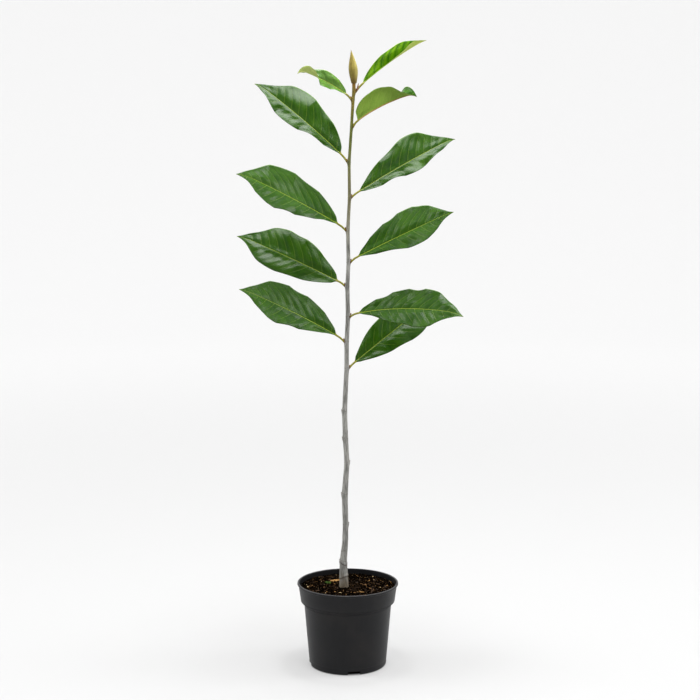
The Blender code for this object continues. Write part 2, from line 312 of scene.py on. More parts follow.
# %% Hang the lamps
Lamp = namedtuple("Lamp", "name place size power")
LAMPS = [
    Lamp("overhead", (0.1, -0.1, 3.1), 1.6, 102),
    Lamp("front_left", (-1.2, -2.5, 2.4), 1.0, 4),
    Lamp("front_right", (1.7, -2.0, 2.2), 1.1, 6.5),
    Lamp("side_left", (-3.0, 0.2, 2.5), 1.0, 26),
    Lamp("side_right", (3.0, 0.2, 2.3), 1.0, 31),
]
AIM = Vector((0, 0, 0.75))
SKY = 0.12

for lamp in LAMPS:
    light = bpy.data.lights.new(lamp.name, "AREA")
    light.size = lamp.size
    light.energy = lamp.power
    hung = bpy.data.objects.new(lamp.name, light)
    hung.location = lamp.place
    hung.rotation_euler = (AIM - hung.location).to_track_quat("-Z", "Y").to_euler()
    hung.visible_camera = False
    bpy.context.scene.collection.objects.link(hung)

world = bpy.data.worlds.new("studio_air")
world.use_nodes = True
world.node_tree.nodes["Background"].inputs["Color"].default_value = (1, 1, 1, 1)
world.node_tree.nodes["Background"].inputs["Strength"].default_value = SKY
bpy.context.scene.world = world
print(f"{len(LAMPS)} lamps, {sum(lamp.power for lamp in LAMPS)} W")

# %% [markdown]
# ## Pot
# The real pot is injection moulded from black polypropylene: a thin tapered wall, a deep collar that stands
# proud so that pots nest, a rolled lip and drain holes in the corner of the foot. A turned shape is drawn as
# half a section and then carried round, as on a lathe. Extruding a circle ring by ring does the same and
# keeps every ring even, and a Bevel modifier rounds the corners that the mould rounds.

# %% Turn the pot
LIP_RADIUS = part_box("pot")[1].x
POT_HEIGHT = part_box("pot")[1].z
LIP_DEPTH = 4 * MM
LIP_ROLL = 1.3 * MM
LIP_INNER_ROLL = 0.8 * MM
LIP_WIDTH = 3 * MM
COLLAR_TOP_RADIUS = 92.8 * MM
COLLAR_BOTTOM_RADIUS = 88.4 * MM
COLLAR_BOTTOM = 124 * MM
BODY_TOP_RADIUS = 82.2 * MM
BODY_TOP = 118.5 * MM
FOOT_BAND_RADIUS = 73.3 * MM
FOOT_BAND_TOP = 13 * MM
FOOT_RADIUS = 72.9 * MM
FOOT_EDGE = 5 * MM
FOOT_STEP = 0.8 * MM
WALL = 1.8 * MM
FLOOR = 2.4 * MM
POT_SIDES = 160
MOULD_ROUNDING = 0.9 * MM
GATE_MARK = 6 * MM
GATE_SLOPE = 0.6 * MM
SOLE_GROOVES = (30 * MM, 60 * MM)
SOLE_GROOVE = 1.6 * MM
SOLE_DEPTH = 0.5 * MM


def sole(grooves):
    """The pot's underside from the middle out, with a shallow ring pressed in at each groove."""
    points = [(GATE_MARK, SOLE_DEPTH), (GATE_MARK + GATE_SLOPE, 0)]
    for radius in grooves:
        points += [(radius, 0), (radius + SOLE_DEPTH, SOLE_DEPTH), (radius + SOLE_GROOVE, SOLE_DEPTH),
                   (radius + SOLE_GROOVE + SOLE_DEPTH, 0)]
    return points


lip_foot = POT_HEIGHT - LIP_DEPTH
pot_profile = [
    *sole(SOLE_GROOVES),
    *arc((FOOT_RADIUS - FOOT_EDGE, FOOT_EDGE), FOOT_EDGE, -90, 0, 4),
    (FOOT_RADIUS, FOOT_BAND_TOP - FOOT_STEP),
    (FOOT_BAND_RADIUS, FOOT_BAND_TOP),
    *[(mix(FOOT_BAND_RADIUS, BODY_TOP_RADIUS, part), mix(FOOT_BAND_TOP, BODY_TOP, part))
      for part in (0.3, 0.65)],
    (BODY_TOP_RADIUS, BODY_TOP),
    (COLLAR_BOTTOM_RADIUS, COLLAR_BOTTOM),
    (mix(COLLAR_BOTTOM_RADIUS, COLLAR_TOP_RADIUS, 0.5), mix(COLLAR_BOTTOM, lip_foot, 0.5)),
    (COLLAR_TOP_RADIUS, lip_foot),
    *arc((LIP_RADIUS - LIP_ROLL, lip_foot + LIP_ROLL), LIP_ROLL, -70, 0, 3),
    *arc((LIP_RADIUS - LIP_ROLL, POT_HEIGHT - LIP_ROLL), LIP_ROLL, 0, 90, 4),
    *arc((LIP_RADIUS - LIP_WIDTH, POT_HEIGHT - LIP_INNER_ROLL), LIP_INNER_ROLL, 90, 180, 3),
    (COLLAR_TOP_RADIUS - WALL, lip_foot),
    (COLLAR_BOTTOM_RADIUS - WALL, COLLAR_BOTTOM + WALL / 2),
    (BODY_TOP_RADIUS - WALL, BODY_TOP + WALL / 2),
    (FOOT_RADIUS - WALL, FLOOR + FOOT_EDGE),
    (FOOT_RADIUS - FOOT_EDGE, FLOOR),
]


def apply_all(piece):
    only(piece)
    for modifier in list(piece.modifiers):
        bpy.ops.object.modifier_apply(modifier=modifier.name)


def measured(piece):
    """Prints a finished piece's size and triangle count."""
    low, high = (Vector(f(v.co[axis] for v in piece.data.vertices) for axis in range(3)) for f in (min, max))
    triangles = sum(len(face.vertices) - 2 for face in piece.data.polygons)
    print(piece.name, "x".join(f"{side / MM:.1f}" for side in high - low), f"mm, {triangles} triangles")


pot_shell = turned("pot_shell", pot_profile, POT_SIDES)
rounded = pot_shell.modifiers.new("moulded corners", "BEVEL")
rounded.width = MOULD_ROUNDING
rounded.segments = 3
rounded.limit_method = "ANGLE"
rounded.angle_limit = math.radians(17)
apply_all(pot_shell)
measured(pot_shell)

# %% [markdown]
# Water leaves through four slots that cut the corner between wall and floor. The mould leaves them as clean
# rectangular notches with small corner radii, so each cutter is a box with all its edges bevelled, taken
# away with a Boolean modifier.

# %% Cut the drain holes
DRAIN_COUNT = 4
DRAIN_FIRST = math.radians(-80.3)
DRAIN_SIZE = (24 * MM, 12 * MM, 7.5 * MM)
DRAIN_CORNER = 1.2 * MM


def drain_cutter(turn):
    """A rounded box that stands across the foot's corner at one turn round the pot."""
    width, depth, height = DRAIN_SIZE
    reach = FOOT_RADIUS - depth / 2 + MM
    bpy.ops.object.select_all(action="DESELECT")
    bpy.ops.mesh.primitive_cube_add(size=1, location=(reach * math.cos(turn), reach * math.sin(turn), 0),
                                    rotation=(0, 0, turn - math.pi / 2), scale=(width, depth, 2 * height))
    cutter = bpy.context.object
    bpy.ops.object.transform_apply()
    bpy.ops.object.mode_set(mode="EDIT")
    bpy.ops.mesh.select_all(action="SELECT")
    bpy.ops.mesh.bevel(offset=DRAIN_CORNER, segments=3, affect="EDGES")
    bpy.ops.object.mode_set(mode="OBJECT")
    return cutter


for index in range(DRAIN_COUNT):
    cutter = drain_cutter(DRAIN_FIRST + 2 * math.pi * index / DRAIN_COUNT)
    cut = pot_shell.modifiers.new("drain", "BOOLEAN")
    cut.object = cutter
    apply_all(pot_shell)
    bpy.data.objects.remove(cutter)
only(pot_shell)
bpy.ops.object.shade_smooth_by_angle(angle=math.radians(34))
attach(pot_shell, "root")
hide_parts("pot")
measured(pot_shell)

# %% [markdown]
# Moulded polypropylene is charcoal rather than black. Its skin has a very fine matt grain, faint upright
# flow marks, and a bloom of dry peat dust on the lip and inside the mouth. The ledge under the collar is
# duller than the rest. Dust and dullness follow height and noise, so they need no picture.

# %% Finish the pot
# Between which heights in metres each share comes in
DUSTY_LIP = (0.146, 0.1585)
LIP_WEAR_AND_HIGHLIGHT = (0.1572, 0.1588)
LEDGE_TOP = (0.1265, 0.1245)
LEDGE_BOTTOM = (0.1165, 0.1185)


def pot_plastic():
    f = Finish("pot_plastic")
    place = f.place()
    height = place.part(2)
    cloud = f.noise(place, 60 * MM, 4)
    flow = f.noise(f.stretched(place, (1, 1, 0.06)), 7 * MM, 2)
    grain = f.noise(place, 0.55 * MM, 2)
    speck = f.step(f.noise(place, 2.2 * MM, 3, 0.65), 0.63, 0.74)
    near_lip = f.step(height, *DUSTY_LIP)
    dust = speck * near_lip * 0.55 + f.step(cloud, 0.45, 0.8) * 0.10
    black = f.blend(rgb(10, 10, 13), rgb(16, 16, 19), f.step(cloud * 0.6 + flow * 0.4, 0.35, 0.65))
    # The top of the lip is painted lighter grey: partly wear, partly a painted highlight
    black = f.blend(black, rgb(62, 62, 64), f.step(height, *LIP_WEAR_AND_HIGHLIGHT) * 0.5)
    colour = f.blend(black, rgb(70, 62, 52), dust)
    ledge = f.step(height, *LEDGE_TOP) * f.step(height, *LEDGE_BOTTOM)
    gloss = 0.46 + (cloud - 0.5) * 0.16 + (flow - 0.5) * 0.1 + speck * 0.08 + ledge * 0.2
    return f.settle(base_color=colour, roughness=gloss, specular_IOR_level=0.26,
                    normal=f.relief(grain * (0.06 * MM) + flow * (0.05 * MM)))


pot_shell.data.materials.append(pot_plastic())
print("pot finished")

# %% [markdown]
# ## Tubes in rows
# Trunk, bud, leaves and loose root fibres all start as a cylinder cut into rows. Subdividing only its upright
# edges makes the rows. Each point then knows its row and its column, and a rule puts it in place.

# %% Cut a cylinder into rows


def upright_edges(piece):
    """Selects the edges of a cylinder that run along it."""
    shape = bmesh.from_edit_mesh(piece.data)
    for edge in shape.edges:
        first, second = edge.verts
        level_step = math.hypot(first.co.x - second.co.x, first.co.y - second.co.y)
        edge.select = level_step < 1e-5
    bmesh.update_edit_mesh(piece.data)


def rowed_tube(name, columns, cuts):
    """A closed cylinder in rows, with each point's row and column. Cuts multiply: (3, 49) makes 200 rows."""
    bpy.ops.object.select_all(action="DESELECT")
    bpy.ops.mesh.primitive_cylinder_add(vertices=columns, radius=1, depth=1, end_fill_type="NGON")
    tube = bpy.context.object
    tube.name = name
    bpy.ops.object.mode_set(mode="EDIT")
    bpy.ops.mesh.select_mode(type="EDGE")
    for cut in cuts:
        bpy.ops.mesh.select_all(action="DESELECT")
        upright_edges(tube)
        bpy.ops.mesh.subdivide(number_cuts=cut)
    bpy.ops.object.mode_set(mode="OBJECT")
    rows = math.prod(cut + 1 for cut in cuts)
    points = points_of(tube)
    row = np.rint((points[:, 2] + 0.5) * rows).astype(int)
    column = np.rint(np.arctan2(points[:, 1], points[:, 0]) / (2 * np.pi) * columns).astype(int) % columns
    return tube, row, column


def points_of(piece):
    points = np.empty(len(piece.data.vertices) * 3)
    piece.data.vertices.foreach_get("co", points)
    return points.reshape(-1, 3)


def move_points(piece, points):
    piece.data.vertices.foreach_set("co", np.ascontiguousarray(points).ravel())
    piece.data.update()


def point_values(piece, name, values):
    """Keeps three numbers for each point of a piece, for its material."""
    layer = piece.data.attributes.new(name, "FLOAT_VECTOR", "POINT")
    layer.data.foreach_set("vector", np.ascontiguousarray(values, dtype=float).ravel())


def close_up(piece):
    """Merges points that fell together, such as a tip's, and turns every face outwards."""
    only(piece)
    bpy.ops.object.mode_set(mode="EDIT")
    bpy.ops.mesh.select_all(action="SELECT")
    bpy.ops.mesh.remove_doubles(threshold=1e-6)
    bpy.ops.mesh.normals_make_consistent(inside=False)
    bpy.ops.object.mode_set(mode="OBJECT")
    bpy.ops.object.shade_smooth()


print("tubes ready")

# %% [markdown]
# ## Potting mix
# The mix is moist peat with bark and pale granules. Its surface is never flat: lumps a few millimetres high,
# crumbs on top of them, a low mound round the trunk and a slow rise to the rim. A turned plug gives the body
# with many fine rings on its top, and each point of the top is lifted by layered noise. Loose crumbs and
# chips then lie on it.

# %% Fill the pot
Spot = namedtuple("Spot", "x y")
TRUNK_FOOT = Spot(-7.4 * MM, 0.0)
TRUNK_FOOT_RADIUS = 8.9 * MM
TRUNK_BOTTOM = 148.6 * MM
GAP = 0.3 * MM
MIX_EDGE = 149.5 * MM
MIX_LEVEL = 148.1 * MM
MIX_DISH = 1.8 * MM
MIX_RIM = 0.06
MIX_MIDDLE = 0.4 * MM
MIX_SIDES = 168
MIX_RINGS = 62
# Height, size across and seed of the coarse and the fine lumps
LUMPS = ((1.9 * MM, 17 * MM, 3.1), (1.1 * MM, 5.5 * MM, 8.7))
RIM_LUMPS = 0.25
MOUND = 2.2 * MM
MOUND_OUT = 2 * MM
MOUND_WIDTH = 11 * MM
TRUNK_RING = 1.5 * MM
collar_slope = (COLLAR_TOP_RADIUS - COLLAR_BOTTOM_RADIUS) / (POT_HEIGHT - LIP_DEPTH - COLLAR_BOTTOM)
MIX_RADIUS = COLLAR_BOTTOM_RADIUS - WALL - GAP + collar_slope * (MIX_EDGE - COLLAR_BOTTOM)


def cloud_at(x, y, size, seed):
    """Layered noise, about -1 to 1, at a place on the mix."""
    return noise.fractal(Vector((x / size, y / size, seed)), 0.8, 2.2, 4)


def mix_height(x, y):
    """Height of the mix's surface at a place."""
    out = math.hypot(x, y) / MIX_RADIUS
    inside = float(smooth((1 - out) / MIX_RIM))
    lumps = sum(height * cloud_at(x, y, size, seed) for height, size, seed in LUMPS)
    level = mix(MIX_EDGE, MIX_LEVEL + MIX_DISH * out ** 3, inside) + lumps * mix(RIM_LUMPS, 1, inside)
    from_trunk = math.hypot(x - TRUNK_FOOT.x, y - TRUNK_FOOT.y) - TRUNK_FOOT_RADIUS
    if from_trunk < 0:
        return TRUNK_BOTTOM - GAP
    mound = MOUND * float(bump(from_trunk - MOUND_OUT, MOUND_WIDTH))
    return mix(TRUNK_BOTTOM - GAP, level + mound, float(smooth(from_trunk / TRUNK_RING)))


mix_profile = [
    (2 * MM, FLOOR + GAP),
    (FOOT_RADIUS - FOOT_EDGE - 2 * GAP, FLOOR + GAP),
    (FOOT_RADIUS - WALL - GAP, FLOOR + FOOT_EDGE),
    (BODY_TOP_RADIUS - WALL - GAP, BODY_TOP + WALL / 2),
    (COLLAR_BOTTOM_RADIUS - WALL - GAP, COLLAR_BOTTOM + WALL / 2),
    *[(MIX_RADIUS * (1 - ring / MIX_RINGS) + MIX_MIDDLE * ring / MIX_RINGS, MIX_EDGE)
      for ring in range(MIX_RINGS + 1)],
]
mix_bed = turned("mix_bed", mix_profile, MIX_SIDES)
for point in mix_bed.data.vertices:
    if point.co.z > MIX_EDGE - MM:
        point.co.z = mix_height(point.co.x, point.co.y)
only(mix_bed)
bpy.ops.object.shade_smooth()
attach(mix_bed, "root")
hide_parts("potting_mix")
measured(mix_bed)

# %% [markdown]
# Thousands of small lumps can't each be modelled by hand. One lump and one chip are modelled, and arrays of
# places, turns and sizes make the copies, with every copy's corners pushed about so that no two are alike.
# All copies of a kind are joined in one mesh, and each copy is dealt one of a few finishes.

# %% Scatter lumps over the mix
CHIP_BEVEL = 0.16
# A copy's middle lies this share of its thickness above the mix
LIE = 0.2
# The higher, the more small copies there are to each large one
SMALLNESS = 2.2
WIDTHS = (0.5, 0.9)


def template(kind):
    """Corner places and faces of one small shape, about 1 across: a rough ball or a bevelled chip."""
    bpy.ops.object.select_all(action="DESELECT")
    if kind == "lump":
        bpy.ops.mesh.primitive_ico_sphere_add(subdivisions=1, radius=0.5)
    else:
        bpy.ops.mesh.primitive_cube_add(size=1)
        bpy.ops.object.mode_set(mode="EDIT")
        bpy.ops.mesh.bevel(offset=CHIP_BEVEL, segments=1, affect="EDGES")
        bpy.ops.object.mode_set(mode="OBJECT")
    shape = bpy.context.object
    points = np.array([v.co for v in shape.data.vertices])
    faces = [list(face.vertices) for face in shape.data.polygons]
    bpy.data.objects.remove(shape)
    return points, faces


def turns(spin, lean):
    """Turn matrices: a spin about the upright and a lean, in radians."""
    cos, sin, cl, sl = np.cos(spin), np.sin(spin), np.cos(lean), np.sin(lean)
    zero = np.zeros(len(spin))
    rows = [[cos, -sin * cl, sin * sl], [sin, cos * cl, -cos * sl], [zero, sl, cl]]
    return np.moveaxis(np.array(rows), 2, 0)


def joined(name, points, faces, finishes, dealt):
    """One mesh from the points of many copies, each copy with the finish that it was dealt."""
    copies, corners, _ = points.shape
    mesh = bpy.data.meshes.new(name)
    all_faces = [[corner + copy * corners for corner in face] for copy in range(copies) for face in faces]
    mesh.from_pydata(points.reshape(-1, 3).tolist(), [], all_faces)
    for finish in finishes:
        mesh.materials.append(finish)
    mesh.polygons.foreach_set("material_index", np.repeat(dealt, len(faces)).astype(np.int32))
    piece = bpy.data.objects.new(name, mesh)
    bpy.context.scene.collection.objects.link(piece)
    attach(piece, "root")
    return piece


def spread(rng, count, reach):
    """Random places on the mix, clear of the trunk."""
    places = []
    while len(places) < count:
        x, y = rng.uniform(-reach, reach, 2)
        clear = math.hypot(x - TRUNK_FOOT.x, y - TRUNK_FOOT.y) > TRUNK_FOOT_RADIUS + TRUNK_RING
        if math.hypot(x, y) < reach and clear:
            places.append((x, y, mix_height(x, y)))
    return np.array(places)


def scattered(name, kind, rng, places, sizes, tilt, roughness, finishes):
    """Copies of one small shape lying at the given places, each nearly a third sunk in the mix."""
    corners, faces = template(kind)
    count = len(places)
    ruffled = corners * (1 + rng.normal(0, roughness, (count, len(corners), 3)))
    shaped = ruffled * sizes[:, None, :]
    turn = turns(rng.uniform(0, 2 * np.pi, count), rng.uniform(-tilt, tilt, count))
    turned_round = np.einsum("nij,nkj->nki", turn, shaped)
    lifted = places + np.column_stack((np.zeros((count, 2)), sizes[:, 2] * LIE))
    piece = joined(name, turned_round + lifted[:, None, :], faces, finishes,
                   rng.integers(0, len(finishes), count))
    measured(piece)


def sizes_of(rng, count, least, most, flatness):
    """Length, width and thickness for each copy, with many small ones and a few large."""
    length = least + (most - least) * rng.random(count) ** SMALLNESS
    return np.column_stack((length, length * rng.uniform(*WIDTHS, count), length * flatness))


print("scatter helpers ready")

# %% [markdown]
# Peat is almost black when moist, with brown where it dries. The bed and the crumbs follow one recipe, each
# with its own colours. Chips of bark come in gold, tan and rust with a fine long grain, and the same recipe
# in other colours serves the moss and the pale granules.

# %% Finish the peat and the chips


def peat(name, dark, light, grain):
    f = Finish(name)
    place = f.place()
    lump = f.noise(place, grain, 5, 0.62)
    fine = f.noise(place, grain / 6, 3, 0.6)
    colour = f.blend(dark, light, f.step(lump * 0.6 + fine * 0.4, 0.42, 0.66))
    return f.settle(base_color=colour, roughness=0.9 - f.step(lump, 0.4, 0.7) * 0.15,
                    specular_IOR_level=0.0, normal=f.relief(lump * (1.6 * MM) + fine * (0.35 * MM)))


def chip_bark(name, dark, light):
    f = Finish(name)
    place = f.place()
    fibre = f.noise(f.stretched(place, (1, 0.2, 1)), 0.8 * MM, 3)
    colour = f.blend(dark, light, f.step(fibre, 0.3, 0.7))
    return f.settle(base_color=colour, roughness=0.75, specular_IOR_level=0.2,
                    normal=f.relief(fibre * (0.25 * MM)))


peat_finish = peat("peat", rgb(3, 2, 1), rgb(20, 14, 8), 6 * MM)
mix_bed.data.materials.append(peat_finish)
crumb_dark = peat("crumb_dark", rgb(2, 1, 1), rgb(17, 12, 7), 3 * MM)
crumb_brown = peat("crumb_brown", rgb(14, 10, 6), rgb(62, 45, 27), 3 * MM)
bark_gold = chip_bark("bark_gold", rgb(150, 104, 52), rgb(205, 160, 98))
bark_tan = chip_bark("bark_tan", rgb(112, 78, 45), rgb(170, 128, 82))
bark_rust = chip_bark("bark_rust", rgb(34, 22, 12), rgb(66, 44, 25))
moss = chip_bark("moss", rgb(30, 52, 12), rgb(74, 108, 30))
granule_cream = chip_bark("granule_cream", rgb(180, 150, 104), rgb(222, 196, 152))
print("peat, chips, moss and granules finished")

# %% Lay out crumbs, flakes and granules
# Lengths are in millimetres and the greatest tilt in radians. Each copy is dealt one of the finishes.
Litter = namedtuple("Litter", "name kind count least most flatness tilt roughness finishes")
LITTER = [
    Litter("peat_crumbs", "lump", 4200, 0.9, 5.0, 0.6, 0.6, 0.16, [crumb_dark] * 3 + [crumb_brown]),
    Litter("bark_flakes", "chip", 700, 0.7, 2.4, 0.35, 0.8, 0.14, [bark_rust] * 3 + [bark_tan]),
    Litter("bark_chips", "chip", 110, 2.2, 6.5, 0.22, 0.5, 0.12, [bark_rust]),
    Litter("pale_granules", "lump", 260, 0.6, 1.6, 0.7, 0.9, 0.12, [granule_cream, bark_gold]),
]
REACH = MIX_RADIUS - 2 * MM
rng = np.random.default_rng(11)
for litter in LITTER:
    places = spread(rng, litter.count, REACH)
    sizes = sizes_of(rng, litter.count, litter.least * MM, litter.most * MM, litter.flatness)
    scattered(litter.name, litter.kind, rng, places, sizes, litter.tilt, litter.roughness, litter.finishes)

# %% [markdown]
# The largest pale bits can be told apart in the photo, so they are laid one by one: bits of bark and stone,
# most of them on the left and along the right of the mouth.

# %% Lay the pale bits
# Place from the pot's axis, length, width, height and turn, in millimetres and degrees
Bit = namedtuple("Bit", "x y length width height turn")
PALE_BITS = [
    Bit(-75, -6, 4.2, 3.0, 2.6, 20),
    Bit(-78, 16, 2.6, 2.2, 2.0, 0),
    Bit(-56, -5, 2.4, 2.0, 1.8, 70),
    Bit(-48, -20, 3.4, 2.6, 2.0, 10),
    Bit(-39, -33, 3.0, 2.4, 2.2, 60),
    Bit(-42, -38, 2.2, 3.2, 2.0, 80),
    Bit(-24, -31, 2.4, 2.0, 1.8, 0),
    Bit(-13.5, -41, 6.0, 3.0, 2.4, -25),
    Bit(-50, 36, 2.2, 1.8, 1.6, 0),
    Bit(-43, 34, 2.0, 2.4, 1.6, 0),
    Bit(-12, 22, 2.4, 2.4, 1.6, 0),
    Bit(41, 40, 3.0, 2.8, 2.2, 15),
    Bit(50, 43, 2.2, 1.8, 1.6, 0),
    Bit(63, 44, 2.4, 1.8, 1.6, 0),
    Bit(48, 66, 2.6, 2.0, 1.6, 20),
    Bit(82, 30, 3.4, 3.0, 2.4, 30),
    Bit(80, 6, 3.4, 2.0, 2.0, 0),
    Bit(74, 4, 3.6, 2.4, 2.0, 20),
    Bit(61, -8, 2.8, 2.4, 2.2, 70),
    Bit(20, -21, 3.0, 1.8, 1.6, -20),
]
BIT_ROUGHNESS = 0.12
BIT_LIE = 0.35


def lay_bits():
    corners, faces = template("lump")
    table = np.array(PALE_BITS)
    count = len(table)
    own = np.random.default_rng(5)
    ruffled = corners * (1 + own.normal(0, BIT_ROUGHNESS, (count, len(corners), 3)))
    shaped = ruffled * table[:, None, 2:5] * MM
    turned_round = np.einsum("nij,nkj->nki", turns(np.radians(table[:, 5]), np.zeros(count)), shaped)
    lifts = [mix_height(x * MM, y * MM) + BIT_LIE * height * MM for x, y, _, _, height, _ in PALE_BITS]
    places = np.column_stack((table[:, :2] * MM, lifts))
    piece = joined("pale_bits", turned_round + places[:, None, :], faces, [granule_cream, bark_gold],
                   own.integers(0, 2, count))
    measured(piece)


lay_bits()

# %% [markdown]
# Fine roots and a few sticks lie across the peat, the thickest stick behind the trunk, and one green sprig of
# moss grows on the left. All of them are thin tubes of six sides that bow and taper. They differ in length,
# thickness, bow and lift.

# %% Lay roots, sticks and moss
# Middle place, length, thickness, turn, bow and lift of the far end, in millimetres and degrees
Fibre = namedtuple("Fibre", "x y length thick turn bow lift")
STICKS = [
    Fibre(-23, 41, 22, 3.2, 7, 0.6, 1.5),
    Fibre(24, -31, 15, 1.5, -38, 1.6, 0.5),
    Fibre(30, 17, 22, 1.1, -20, 2.2, 0.5),
    Fibre(41, -4, 20, 0.9, -45, 2.0, 0.5),
    Fibre(12, -34, 16, 1.0, 20, 1.8, 0.5),
]
ROOTS = 90
FIBRE_REACH = 76
MOSS_STRANDS = 18
MOSS_PLACE = (-37, 27)
MOSS_REACH = 5
FIBRE_CLEAR = 11
FIBRE_SIDES = 6
FIBRE_TAPER = 0.6
FIBRE_BENDS = 2.4
FIBRE_CURL = 1.4


def lay_fibres(name, fibres, finishes, dealt):
    """One mesh of bowed, tapered tubes from a list of Fibre."""
    tube, row, column = rowed_tube(name + "_pattern", FIBRE_SIDES, (5,))
    faces = [list(face.vertices) for face in tube.data.polygons]
    bpy.data.objects.remove(tube)
    part = row / row.max()
    angle = 2 * np.pi * column / FIBRE_SIDES
    copies = []
    for fibre in fibres:
        turn = math.radians(fibre.turn)
        radius = fibre.thick / 2 * (1 - FIBRE_TAPER * np.abs(2 * part - 1) ** 3)
        ahead = fibre.length * (part - 0.5)
        aside = fibre.bow * np.sin(FIBRE_BENDS * np.pi * part) + radius * np.cos(angle)
        x = fibre.x * MM + (ahead * math.cos(turn) - aside * math.sin(turn)) * MM
        y = fibre.y * MM + (ahead * math.sin(turn) + aside * math.cos(turn)) * MM
        ground = mix_height(fibre.x * MM, fibre.y * MM) + (0.2 + fibre.thick * 0.3) * MM
        above = (radius * np.sin(angle) + fibre.lift * part ** FIBRE_CURL) * MM
        copies.append(np.column_stack((x, y, ground + above)))
    piece = joined(name, np.array(copies), faces, finishes, dealt)
    only(piece)
    bpy.ops.object.shade_smooth()
    measured(piece)


def random_fibres(rng, count, middle, reach, length, thick, lift):
    """Fibres at random places within reach of a middle, on the mix and clear of the trunk."""
    fibres = []
    while len(fibres) < count:
        x, y = rng.uniform(-reach, reach, 2) + middle
        if math.hypot(x, y) < FIBRE_REACH and math.hypot(x - TRUNK_FOOT.x / MM, y) > FIBRE_CLEAR:
            fibres.append(Fibre(x, y, rng.uniform(*length), rng.uniform(*thick), rng.uniform(0, 360),
                                rng.uniform(-2, 2), rng.uniform(*lift)))
    return fibres


lay_fibres("sticks", STICKS, [bark_gold, bark_tan], np.array([0, 0, 1, 1, 1]))
roots = random_fibres(rng, ROOTS, (0, 0), FIBRE_REACH, (6, 18), (0.4, 0.9), (0, 1.5))
lay_fibres("roots", roots, [bark_rust, bark_tan], rng.integers(0, 6, ROOTS) // 5)
strands = random_fibres(rng, MOSS_STRANDS, MOSS_PLACE, MOSS_REACH, (2.5, 5), (0.6, 1.1), (1, 3.5))
lay_fibres("moss_sprig", strands, [moss], np.zeros(MOSS_STRANDS))

# %% [markdown]
# ## The trunk's rule
# The trunk is not straight. It grew from bud to bud and leans a little at each one, swelling where a leaf
# stands or once stood. Its shape is a list of knots from the foot to the tip, each with its height, its lean
# from the pot's axis, the side that its leaf is on and the trunk's thickness. The solids were made from the
# same rule, so the finer trunk and leaves below grow in the same places.

# %% Write the trunk's rule
KNOT_SWELL = 0.9 * MM
KNOT_SPREAD = 6 * MM
WEAVE = 2.5 * MM
WEAVE_LENGTH = 310 * MM
TRUNK_BEND = 11 * MM
Knot = namedtuple("Knot", "height lean side diameter")
KNOTS = [
    Knot(148.6, -7.4, 0, 17.4),
    Knot(172, -7.6, 0, 16.6),
    Knot(199, -8.4, -1, 13.6),
    Knot(238, -4.6, 0, 11.2),
    Knot(270, -4.1, 1, 10.4),
    Knot(328, -5.6, -1, 11.4),
    Knot(389, -1.5, 1, 9.6),
    Knot(434, -4.2, -1, 10.0),
    Knot(485, -5.9, -1, 9.4),
    Knot(566, -2.0, 1, 8.5),
    Knot(616, -1.9, -1, 8.3),
    Knot(663, 0.6, 1, 8.1),
    Knot(719, -0.7, -1, 7.6),
    Knot(763, 1.5, 1, 7.0),
    Knot(821, 0.2, -1, 6.6),
    Knot(881, 3.3, 1, 5.8),
    Knot(945, 2.6, -1, 5.5),
    Knot(1009, 6.8, 1, 5.3),
    Knot(1057.5, 9.8, -1, 5.8),
    Knot(1071.5, 11.2, 1, 6.0),
    Knot(1087.4, 11.2, 0, 6.4),
]
knot_heights = np.array([knot.height * MM for knot in KNOTS])
knot_leans = np.array([knot.lean * MM for knot in KNOTS])
knot_radii = np.array([knot.diameter * MM / 2 for knot in KNOTS])


def trunk_centre(height):
    """Middle of the trunk at a height, or at an array of heights, as X and Y."""
    around = [height + TRUNK_BEND * step for step in (-1, -0.5, 0, 0.5, 1)]
    lean = np.mean([np.interp(each, knot_heights, knot_leans) for each in around], axis=0)
    above = (height - knot_heights[0]) / WEAVE_LENGTH
    return lean, WEAVE * np.sin(2 * np.pi * above) * smooth(above)


def trunk_radius(height):
    return np.interp(height, knot_heights, knot_radii)


def knot_swell(height):
    """How far the trunk stands out beside its knots, to the left (-) or right (+)."""
    return sum(knot.side * KNOT_SWELL * bump(height - knot.height * MM, KNOT_SPREAD) for knot in KNOTS)


print(f"trunk from {KNOTS[0].height} to {KNOTS[-1].height} mm, {len(KNOTS)} knots")

# %% [markdown]
# ## Trunk
# Young magnolia bark is smooth and grey, with fine upright grain. Each old leaf leaves a scar: a low ring
# right round the stem and a rounded patch on its side. These are real relief, so they are moved points and
# not only bump in the finish. The foot flares into the mix in a few soft ribs.

# %% Grow the trunk
TRUNK_COLUMNS = 56
TRUNK_CUTS = (15, 39)
RING_HEIGHT = 0.22 * MM
RING_WIDTH = 0.7 * MM
RING_TILT = 1.4 * MM
SCAR_HEIGHT = 0.5 * MM
SCAR_SIZE = 2.4 * MM
RING_ABOVE = 1.6 * MM
GRAIN = 0.10 * MM
GRAIN_LENGTH = 9 * MM
GRAIN_WIDTH = 2.2 * MM
GRAIN_CLOSENESS = 1.7
FLARE = 0.5 * MM
FLARE_RIBS = 4
FLARE_TOP = 175 * MM
FLARE_LENGTH = 26 * MM
# Older scars near the foot: height, tilt across the trunk, ridge and width, all in millimetres
OLD_SCARS = ((170, 3.5, 0.7, 1.5), (199, -4.5, 0.8, 1.6), (222, 1.5, 0.25, 0.8))
SCAR_SHADOW = 2.4 * MM


